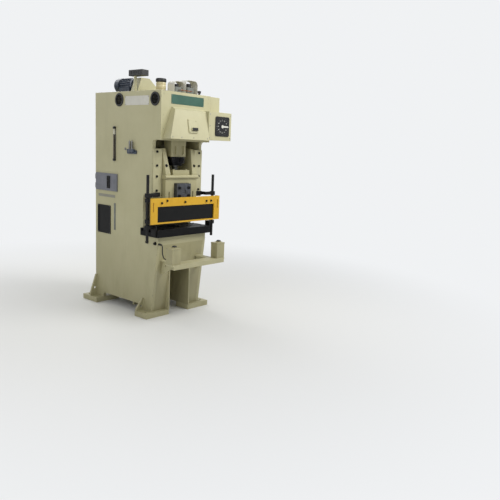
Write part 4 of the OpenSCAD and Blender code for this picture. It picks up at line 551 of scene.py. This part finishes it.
# Each group: finish, slot and rows, and where they differ, sides of the head, washer as a share and body
coverSlope = {"setback": -108, "foot": 1695, "lean": 0.188, "screws": 1712}  # of the crown cover's face
slopedFace = coverSlope["setback"] + (coverSlope["screws"] - coverSlope["foot"]) * coverSlope["lean"]
outLeft, outRight, outFront, outBack = (-1, 0, 0), (1, 0, 0), (0, -1, 0), (0, 1, 0)
screwGroups = {
    "cover_screws": ("zincScrew", "bright_steel", [  # side box, dial box and sloped crown cover
        (441, (40, 210), (1743, 1910, 2076), outRight, (5, 3)),
        (-92, (504,), (1727, 1947), outFront, (5, 3)),
        (slopedFace, (-262, -150, 0, 180), (coverSlope["screws"],), (0, -1, 0.19), (5, 3))]),
    "plate_screws": ("zincScrew", "plates", [  # blank plates of the side and the crown, and window frame
        (-315, (176, 510), (1999, 2067), outLeft, (4, 2)),
        (-2, (-186, 210), (2018, 2086), outFront, (4, 2)),
        (-319, (748, 952), (730, 1006), outLeft, (3.5, 2))]),
    "side_plug": ("zincScrew", "bright_steel", [(-313, (508,), (1583,), outLeft, (10, 8))], 6, 1.4),
    "ear_bolts": ("blackBolt", "black_bolt", [  # square to the slope of the slide's ears
        (67.4, (-178, 178), (1447,), (0, -1, 0.245), (11, 9))], 6, 1.35, "slide"),
    "rear_cover_screws": ("zincScrew", "bright_steel", [
        (1000, (-264, 264), range(180, 2101, 240), outBack, (6, 3.5)),
        (1000, (-88, 88), (156, 2104), outBack, (6, 3.5))]),
    "guard_screws": ("zincScrew", "bright_steel", [  # both faces of the belt guard
        (483, (-180, -50, 88), (2131,), outFront, (5, 3)), (587, (-180, -50, 88), (2131,), outBack, (5, 3))]),
    "motor_bolts": ("zincScrew", "bright_steel", [
        (2132, (-184, -16), (640, 800), (0, 0, 1), (9, 7))], 6, 1.5),
}
for name, settings in screwGroups.items():
    fasteners(name, *settings)
print("screws are in")


# A ring at each step of mm along a bead, swollen by ripples of a height and a pace; start and end are
# the first and last ring's shares of its radius.
beadShape = {"step": 3, "sides": 8, "ripples": ((0.1, 2.1), (0.05, 0.77)), "start": 0.8, "end": 0.7}


def weldBeads(name, runs):  # rippled fillet beads: start, end and radius
    bm = bmesh.new()
    for start, end, radius in runs:
        start, end = at(*start), at(*end)
        run = end - start
        steps = max(4, int(run.length / (beadShape["step"] * mm)))
        turn = Matrix.Translation(start) @ run.to_track_quat("Z", "Y").to_matrix().to_4x4()
        size = beadShape["start"]
        ring = bmesh.ops.create_circle(bm, cap_ends=True, segments=beadShape["sides"],
                                       radius=radius * size * mm, matrix=turn)["verts"]
        edges = list({e for v in ring for e in v.link_edges})
        for k in range(1, steps + 1):
            made = bmesh.ops.extrude_edge_only(bm, edges=edges)["geom"]
            ring = [g for g in made if isinstance(g, bmesh.types.BMVert)]
            mine = set(ring)
            edges = [g for g in made if isinstance(g, bmesh.types.BMEdge) and set(g.verts) <= mine]
            bmesh.ops.translate(bm, verts=ring, vec=run / steps)
            swell = 1.0 + sum(height * math.sin(k * pace) for height, pace in beadShape["ripples"])
            want = swell if k < steps else beadShape["end"]
            centre = start + run * k / steps
            bmesh.ops.scale(bm, verts=ring, vec=(want / size,) * 3, space=Matrix.Translation(-centre))
            size = want
        bmesh.ops.holes_fill(bm, edges=edges, sides=beadShape["sides"])
    bmesh.ops.recalc_face_normals(bm, faces=bm.faces)
    return finishMesh(bm, name, "cream", "frame", smoothAngle=60)


# Feet: each gusset's setback and height, and the runs along the side plate
footWelds = {"plate": 314, "top": 50, "reach": 398, "bead": 4, "longBead": 4.5,
             "lift": 1, "gussets": ((207, 112), (227, 112), (968, 220), (988, 220)),
             "alongPlate": ((60, 222), (856, 996))}
top, bead = footWelds["top"], footWelds["bead"]
low = top + footWelds["lift"]
footRuns = []
for side in (-1, 1):
    plate = side * footWelds["plate"]
    for d, rise in footWelds["gussets"]:
        footRuns.append(((plate, d, top + bead), (plate, d, top + rise - bead), bead))
        footRuns.append(((plate + side * bead, d, low), (side * footWelds["reach"], d, low), bead))
    for front, back in footWelds["alongPlate"]:
        footRuns.append(((plate, front, low), (plate, back, low), footWelds["longBead"]))
weldBeads("foot_welds", footRuns)
# Inside the side plates, as setback, foot, head and radius, and along the crown's lower edge, as half its
# length, setback, height and radius
frameWelds = {"plate": 281, "upright": ((109, 1604, 1676, 3.5), (640, 1570, 1900, 4)),
              "level": (279, 2, 1681, 2.5)}
plate, (half, front, height, radius) = frameWelds["plate"], frameWelds["level"]
weldBeads("frame_welds", [((side * plate, d, foot), (side * plate, d, head), size)
                          for d, foot, head, size in frameWelds["upright"] for side in (-1, 1)]
          + [((-half, front, height), (half, front, height), radius)])
print("weld beads are laid")


# Pressed hoods over the slots of the rear cover; edges that turn by more than crease, in radians, are rounded
louvres = {"count": 9, "back": 1000, "low": 1572, "step": 42, "width": 304, "height": 30, "out": 11,
           "narrowing": 0.97, "rest": 0.6, "wall": 1.6, "hollow": 12, "round": 1.2, "crease": 0.6}
bm = bmesh.new()
for i in range(louvres["count"]):
    middle = at(0, louvres["back"] + louvres["out"] / 2, louvres["low"] + i * louvres["step"])
    made = addBox(bm, middle, [louvres[k] * mm for k in ("width", "out", "height")])
    for v in made:
        if v.co.z > middle.z and v.co.y > middle.y:
            v.co.y = at(0, louvres["back"] + louvres["rest"], 0).y
        elif v.co.y > middle.y:
            v.co.x *= louvres["narrowing"]
    low = min(facesOf(made), key=lambda f: f.calc_center_median().z)
    bmesh.ops.inset_individual(bm, faces=[low], thickness=louvres["wall"] * mm, depth=0)
    bmesh.ops.translate(bm, verts=list(low.verts), vec=(0, 0, louvres["hollow"] * mm))
creases = [e for e in bm.edges if e.calc_face_angle(0) > louvres["crease"]]
breakEdges(bm, creases, louvres["round"], clamp_overlap=True)
finishMesh(bm, "louvre_hoods", "cream", "frame", smoothAngle=40)


# Numbers round the dial, one every thirty degrees
dialText = {"ring": 60, "size": 13, "centre": (389.69, -97, 1837), "rise": 0.4, "step": 30}
x, setback, z = dialText["centre"]
bm = bmesh.new()
for degrees in range(0, 360, dialText["step"]):
    text = bpy.data.curves.new("dialNumber", "FONT")
    text.body = str(degrees)
    text.size = dialText["size"] * mm
    text.align_x = "CENTER"
    text.align_y = "CENTER"
    text.extrude = dialText["rise"] * mm
    holder = bpy.data.objects.new("dialNumber", text)
    bpy.context.scene.collection.objects.link(holder)
    bpy.context.view_layer.update()
    mesh = bpy.data.meshes.new_from_object(holder)
    angle = math.radians(90 - degrees)
    place = at(x + dialText["ring"] * math.cos(angle), setback, z + dialText["ring"] * math.sin(angle))
    mesh.transform(Matrix.Translation(place) @ Matrix.Rotation(math.radians(90), 4, "X"))
    bm.from_mesh(mesh)
    bpy.data.objects.remove(holder)
finishMesh(bm, "dial_numbers", "paleMark", "frame", smoothAngle=30)


def addTurned(bm, x, setback, profile, sides=48, index=0):  # round an upright axis: radii and heights in mm
    verts = [bm.verts.new(at(x + radius, setback, z)) for radius, z in profile]
    edges = [bm.edges.new(pair) for pair in zip(verts, verts[1:])]
    known = set(bm.faces)
    bmesh.ops.spin(bm, geom=verts + edges, cent=at(x, setback, 0), axis=(0, 0, 1), angle=math.tau,
                   steps=sides, use_merge=True, use_duplicate=False)
    for face in set(bm.faces) - known:
        face.material_index = index


def closeTurned(bm):
    bmesh.ops.remove_doubles(bm, verts=bm.verts, dist=dressing["weld"])
    bmesh.ops.dissolve_degenerate(bm, edges=bm.edges, dist=1e-7)
    bmesh.ops.recalc_face_normals(bm, faces=bm.faces)


# Palm buttons: stem, skirt with a rolled rim and a domed cap; the skirt as steps from radius and base, and
# the dome in steps of degrees
palm = {"x": 292, "offset": 10, "setback": -182, "base": 720, "radius": 22, "rise": 14, "shoulder": 4,
        "stem": 8.5, "stemFoot": 19.9, "skirt": ((-4, 0.2), (-1, 0.8), (0, 2.2)), "dome": 9}
for side, body, part in ((-1, "left_button", "left"), (1, "right_button", "right")):
    bm = bmesh.new()
    radius, base, stem = palm["radius"], palm["base"], palm["stem"]
    profile = [(0, base - palm["stemFoot"]), (stem, base - palm["stemFoot"])]
    profile.append((stem, base + palm["skirt"][0][1]))
    profile += [(radius + out, base + rise) for out, rise in palm["skirt"]]
    for degrees in range(0, 90, palm["dome"]):
        angle = math.radians(degrees)
        rise = palm["shoulder"] + (palm["rise"] - palm["shoulder"]) * math.sin(angle)
        profile.append((radius * math.cos(angle), base + rise))
    profile.append((0, base + palm["rise"]))
    addTurned(bm, side * palm["x"] + palm["offset"], palm["setback"], profile)
    closeTurned(bm)
    button = finishMesh(bm, "palm_made_" + part, "blackPlastic", body, smoothAngle=50)
    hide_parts("palm_" + part)


# Adjusting screw: ball end, plain neck and the thread that shows under the lock nut. The ball's arc is in
# degrees from level, flank and crestEnd are heights above a groove's root, and above hidden, inside the
# nut and the rod, there are no grooves.
screw = {"setback": 150, "ball": 1305, "ballRadius": 42, "arc": (-84, 48), "arcStep": 6, "neck": 26,
         "neckFoot": 36, "neckEnd": 1369, "root": 26.5, "crest": 28, "pitch": 5, "flank": 1.9,
         "crestEnd": 2.7, "low": 1372, "hidden": 1440, "high": 1648}
profile = [(0, screw["ball"] - screw["ballRadius"])]
for degrees in range(screw["arc"][0], screw["arc"][1] + 1, screw["arcStep"]):
    angle = math.radians(degrees)
    profile.append((screw["ballRadius"] * math.cos(angle),
                    screw["ball"] + screw["ballRadius"] * math.sin(angle)))
profile += [(screw["neck"], screw["ball"] + screw["neckFoot"]), (screw["neck"], screw["neckEnd"])]
for foot in range(screw["low"], screw["high"] - screw["pitch"] + 1, screw["pitch"]):
    if foot > screw["hidden"]:
        profile.append((screw["crest"], foot))
    else:
        profile += [(screw["root"], foot), (screw["crest"], foot + screw["flank"]),
                    (screw["crest"], foot + screw["crestEnd"])]
profile += [(screw["crest"], screw["high"]), (0, screw["high"])]
bm = bmesh.new()
addTurned(bm, 0, screw["setback"], profile)
closeTurned(bm)
ballScrew = finishMesh(bm, "ball_screw_made", "groundSteel", "rod", smoothAngle=30)
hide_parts("ball_screw")


# Oil reservoir: blown bottle with two grip rings and a foot ring, and a ribbed screw cap. The outlines are
# steps out from the bottle's radius and up from its foot or its neck.
tank = {"x": -100, "setback": 255, "foot": 2120, "radius": 47, "height": 98, "sides": 64,
        "bottle": ((11, 0), (11, 6), (9, 8), (0, 8), (0, 24), (-2.5, 28), (-2.5, 32), (0, 36), (0, 66),
                   (-2.5, 70), (-2.5, 74), (0, 78), (0, 90), (-3, 96), (-7, 98)),
        "cap": ((1, 0.3), (2, 2), (2, 28), (-1, 32.5), (-6, 34), (-12, 32)),
        "ribs": 30, "ribSize": (2.2, 4, 24), "ribOut": 1.8, "ribMiddle": 15}
radius, foot = tank["radius"], tank["foot"]
neck = foot + tank["height"]
bm = bmesh.new()
for index, (base, outline) in enumerate(((foot, tank["bottle"]), (neck, tank["cap"]))):
    addTurned(bm, tank["x"], tank["setback"],
              [(0, base + outline[0][1])] + [(radius + out, base + rise) for out, rise in outline]
              + [(0, base + outline[-1][1])], tank["sides"], index)
closeTurned(bm)
ribSize = [size * mm for size in tank["ribSize"]]
for i in range(tank["ribs"]):
    angle = math.tau * i / tank["ribs"]
    place = at(tank["x"] + (radius + tank["ribOut"]) * math.cos(angle),
               tank["setback"] + (radius + tank["ribOut"]) * math.sin(angle), neck + tank["ribMiddle"])
    for face in facesOf(addBox(bm, place, ribSize, Matrix.Rotation(angle, 4, "Z"))):
        face.material_index = 1
reservoir = finishMesh(bm, "reservoir_made", ["oilBottle", "blackPlastic"], "frame",
                       smoothAngle=40)
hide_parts("oil_reservoir")


def addBlock(bm, low, high, index, bevel=1.0):
    faces = facesOf(addBox(bm, (at(*low) + at(*high)) / 2, at(*high) - at(*low)))
    for face in faces:
        face.material_index = index
    breakEdges(bm, list({e for f in faces for e in f.edges}), bevel, clamp_overlap=True)


def addRod(bm, x, setback, low, high, radius, index):
    made = bmesh.ops.create_cone(bm, cap_ends=True, segments=28, radius1=radius * mm, radius2=radius * mm,
                                 depth=(high - low) * mm,
                                 matrix=Matrix.Translation(at(x, setback, (low + high) / 2)))
    for face in facesOf(made["verts"]):
        face.material_index = index


# Oil sight gauge: two end blocks with nuts, a scale strip and the tube, filled to level, where a ring sits
gauge = {"x": -325, "setback": 673, "low": 1462, "high": 1792, "block": 22, "front": -335, "plate": -313,
         "grip": 20, "radius": 9, "level": 1712, "ring": 5, "nut": 7, "nutHigh": 5, "nutOut": 4,
         "gap": 0.3, "strip": 2.5, "stripHalf": 13, "stripRound": 0.5}
x, setback, half = gauge["x"], gauge["setback"], gauge["block"] / 2
tubeLow, tubeHigh = gauge["low"] + gauge["grip"], gauge["high"] - gauge["grip"]
bm = bmesh.new()
for low, nutLow in ((gauge["low"], gauge["low"] - gauge["nutOut"]),
                    (gauge["high"] - gauge["block"], gauge["high"] + gauge["nutOut"] - gauge["nutHigh"])):
    addBlock(bm, (gauge["front"], setback - half, low),
             (gauge["plate"], setback + half, low + gauge["block"]), 0)
    addRod(bm, x, setback, nutLow, nutLow + gauge["nutHigh"], gauge["nut"], 3)
addBlock(bm, (gauge["plate"] - gauge["strip"], setback - gauge["stripHalf"], tubeLow),
         (gauge["plate"], setback + gauge["stripHalf"], tubeHigh), 3, gauge["stripRound"])
addRod(bm, x, setback, tubeLow, gauge["level"], gauge["radius"], 1)
addRod(bm, x, setback, gauge["level"] + gauge["gap"], tubeHigh, gauge["radius"], 2)
addRod(bm, x, setback, gauge["level"] - gauge["ring"], gauge["level"] + gauge["ring"], gauge["radius"] + 1, 0)
sightGauge = finishMesh(bm, "sight_gauge", ["blackPlastic", "sightTube", "clearTube", "aluminiumPlate"],
                        "frame", smoothAngle=40)
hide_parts("oil_gauge")


# Screwed service cover on the right side plate, beside the clutch, with a rubber seal under it
access = {"x": 313, "setbacks": (400, 720), "heights": (1560, 1900), "corner": 24, "seal": 1.5, "thick": 3,
          "sealOut": 2, "round": 0.8, "screwInset": 20, "screwSize": (6, 3.5)}


def roundedCover(name, inset, low, high, finish):
    bm = bmesh.new()
    a = at(access["x"] + low, access["setbacks"][0] + inset, access["heights"][0] + inset)
    b = at(access["x"] + high, access["setbacks"][1] - inset, access["heights"][1] - inset)
    addBox(bm, (a + b) / 2, b - a)
    corners = [e for e in bm.edges if abs((e.verts[0].co - e.verts[1].co).x) > 1e-6]
    breakEdges(bm, corners, access["corner"] - inset, segments=6)
    middle = (a.x + b.x) / 2
    rim = [e for e in bm.edges if all(v.co.x > middle for v in e.verts) and e.calc_face_angle(0) > 1]
    breakEdges(bm, rim, access["round"])
    bmesh.ops.recalc_face_normals(bm, faces=bm.faces)
    return finishMesh(bm, name, finish, "frame", smoothAngle=40)


coverFace = access["seal"] + access["thick"]
roundedCover("access_seal", -access["sealOut"], 0, access["seal"], "rubber")
roundedCover("access_cover", 0, access["seal"], coverFace, "cream")
(front, back), (foot, top), inset = (access[k] for k in ("setbacks", "heights", "screwInset"))
heights = (foot + inset, (foot + top) / 2, top - inset)
fasteners("access_screws", "zincScrew", "bright_steel", [
    (access["x"] + coverFace, (d,), across, outRight, access["screwSize"])
    for d, across in ((front + inset, heights), ((front + back) / 2, heights[::2]), (back - inset, heights))])


def bentTube(name, shape, finish):  # a tube through the shape's points, as a mesh
    bends = smoothRoute([at(*p) for p in shape["points"]], shape["steps"])
    holder = bpy.data.objects.new(name, curveThrough(name, bends, shape["radius"] * mm))
    bpy.context.scene.collection.objects.link(holder)
    bpy.context.view_layer.update()
    bm = bmesh.new()
    bm.from_mesh(bpy.data.meshes.new_from_object(holder))
    bpy.data.objects.remove(holder)
    bmesh.ops.remove_doubles(bm, verts=bm.verts, dist=1e-6)
    bmesh.ops.recalc_face_normals(bm, faces=bm.faces)
    return finishMesh(bm, name, finish, "frame", smoothAngle=60)


# Bent copper air line between the two valves, in front of their hoods
airLine = {"points": [(6, 127, 2152), (6, 112, 2152), (9, 99, 2152), (24, 96, 2152), (80, 96, 2152),
                      (136, 96, 2152), (151, 98, 2152), (154, 108, 2152), (154, 117, 2152)],
           "steps": 6, "radius": 3.5}
bentTube("air_line", airLine, "copper")
print("small pieces are on")


# Studio: metres, and the distances from the press between which the floor fades into the backdrop
stageLook = {"floor": "#dcdcd9", "floorRough": 0.75, "reach": 60, "drop": 0.0005, "fade": (0.9, 4.2),
             "world": 0.42, "seen": 0.9, "backdrop": (0.97, 0.985, 1, 1)}
bm = bmesh.new()
bmesh.ops.create_grid(bm, x_segments=1, y_segments=1, size=stageLook["reach"])
floorMesh = bpy.data.meshes.new("studioFloor")
bm.to_mesh(floorMesh)
bm.free()
studioFloor = bpy.data.objects.new("studioFloor", floorMesh)
studioFloor.location = (0, 0, -stageLook["drop"])
bpy.context.scene.collection.objects.link(studioFloor)
# matt painted floor that keeps the press's shadow and, for the camera, fades into the pale backdrop
floorFinish = newMaterial("PaleStudioFloor")
floorShader = addNode(floorFinish, "BsdfPrincipled",
                      values={"Base Color": paint(stageLook["floor"]), "Roughness": stageLook["floorRough"]})
floorPlace = addNode(floorFinish, "TexCoord")
reach = addNode(floorFinish, "VectorMath", {"operation": "LENGTH"}, links={"Vector": (floorPlace, "Object")})
fade = addNode(floorFinish, "MapRange", {"interpolation_type": "SMOOTHSTEP"}, band(stageLook["fade"]),
               {"Value": (reach, "Value")})
floorRays = addNode(floorFinish, "LightPath")
fadeSeen = addNode(floorFinish, "Math", {"operation": "MULTIPLY"}, None,
                   {0: (fade, "Result"), 1: (floorRays, "Is Camera Ray")})
backdrop = addNode(floorFinish, "Emission",
                   values={"Color": stageLook["backdrop"], "Strength": stageLook["seen"]})
floorMix = addNode(floorFinish, "MixShader", None, None,
                   {0: (fadeSeen, "Value"), 1: (floorShader, "BSDF"), 2: (backdrop, "Emission")})
addNode(floorFinish, "OutputMaterial", links={"Surface": (floorMix, "Shader")})
floorMesh.materials.append(floorFinish)

# the world gives a plain light, and is seen as the backdrop
world = bpy.data.worlds.new("softStudio")
bpy.context.scene.world = world
world.use_nodes = True
world.node_tree.nodes.clear()
rays = addNode(world, "LightPath")
seen = addNode(world, "Math", {"operation": "MAXIMUM"}, None,
               {0: (rays, "Is Camera Ray"), 1: (rays, "Is Glossy Ray")})
seenAll = addNode(world, "Math", {"operation": "MAXIMUM"}, None,
                  {0: (seen, "Value"), 1: (rays, "Is Transmission Ray")})
strength = addNode(world, "MapRange", values=band((stageLook["world"], stageLook["seen"]), "To"),
                   links={"Value": (seenAll, "Value")})
sky = addNode(world, "Background", values={"Color": stageLook["backdrop"]},
              links={"Strength": (strength, "Result")})
addNode(world, "OutputWorld", links={"Surface": (sky, "Background")})

lamps = {  # soft boxes that face the press's middle: place in metres, width, power in watts
    "keyBox": ((1.3, -2.9, 4.2), 2.4, 126),
    "fillBox": ((-3.8, -1.6, 2.6), 3.0, 40),
    "backBox": ((0.4, 3.4, 3.2), 2.6, 80),
}
pressMiddle = Vector((0, 0, 1.1))
for name, (place, width, power) in lamps.items():
    lamp = bpy.data.lights.new(name, "AREA")
    lamp.size = width
    lamp.energy = power
    holder = bpy.data.objects.new(name, lamp)
    holder.location = place
    holder.rotation_mode = "QUATERNION"
    holder.rotation_quaternion = (pressMiddle - Vector(place)).to_track_quat("-Z", "Y")
    bpy.context.scene.collection.objects.link(holder)


print("the press is finished")
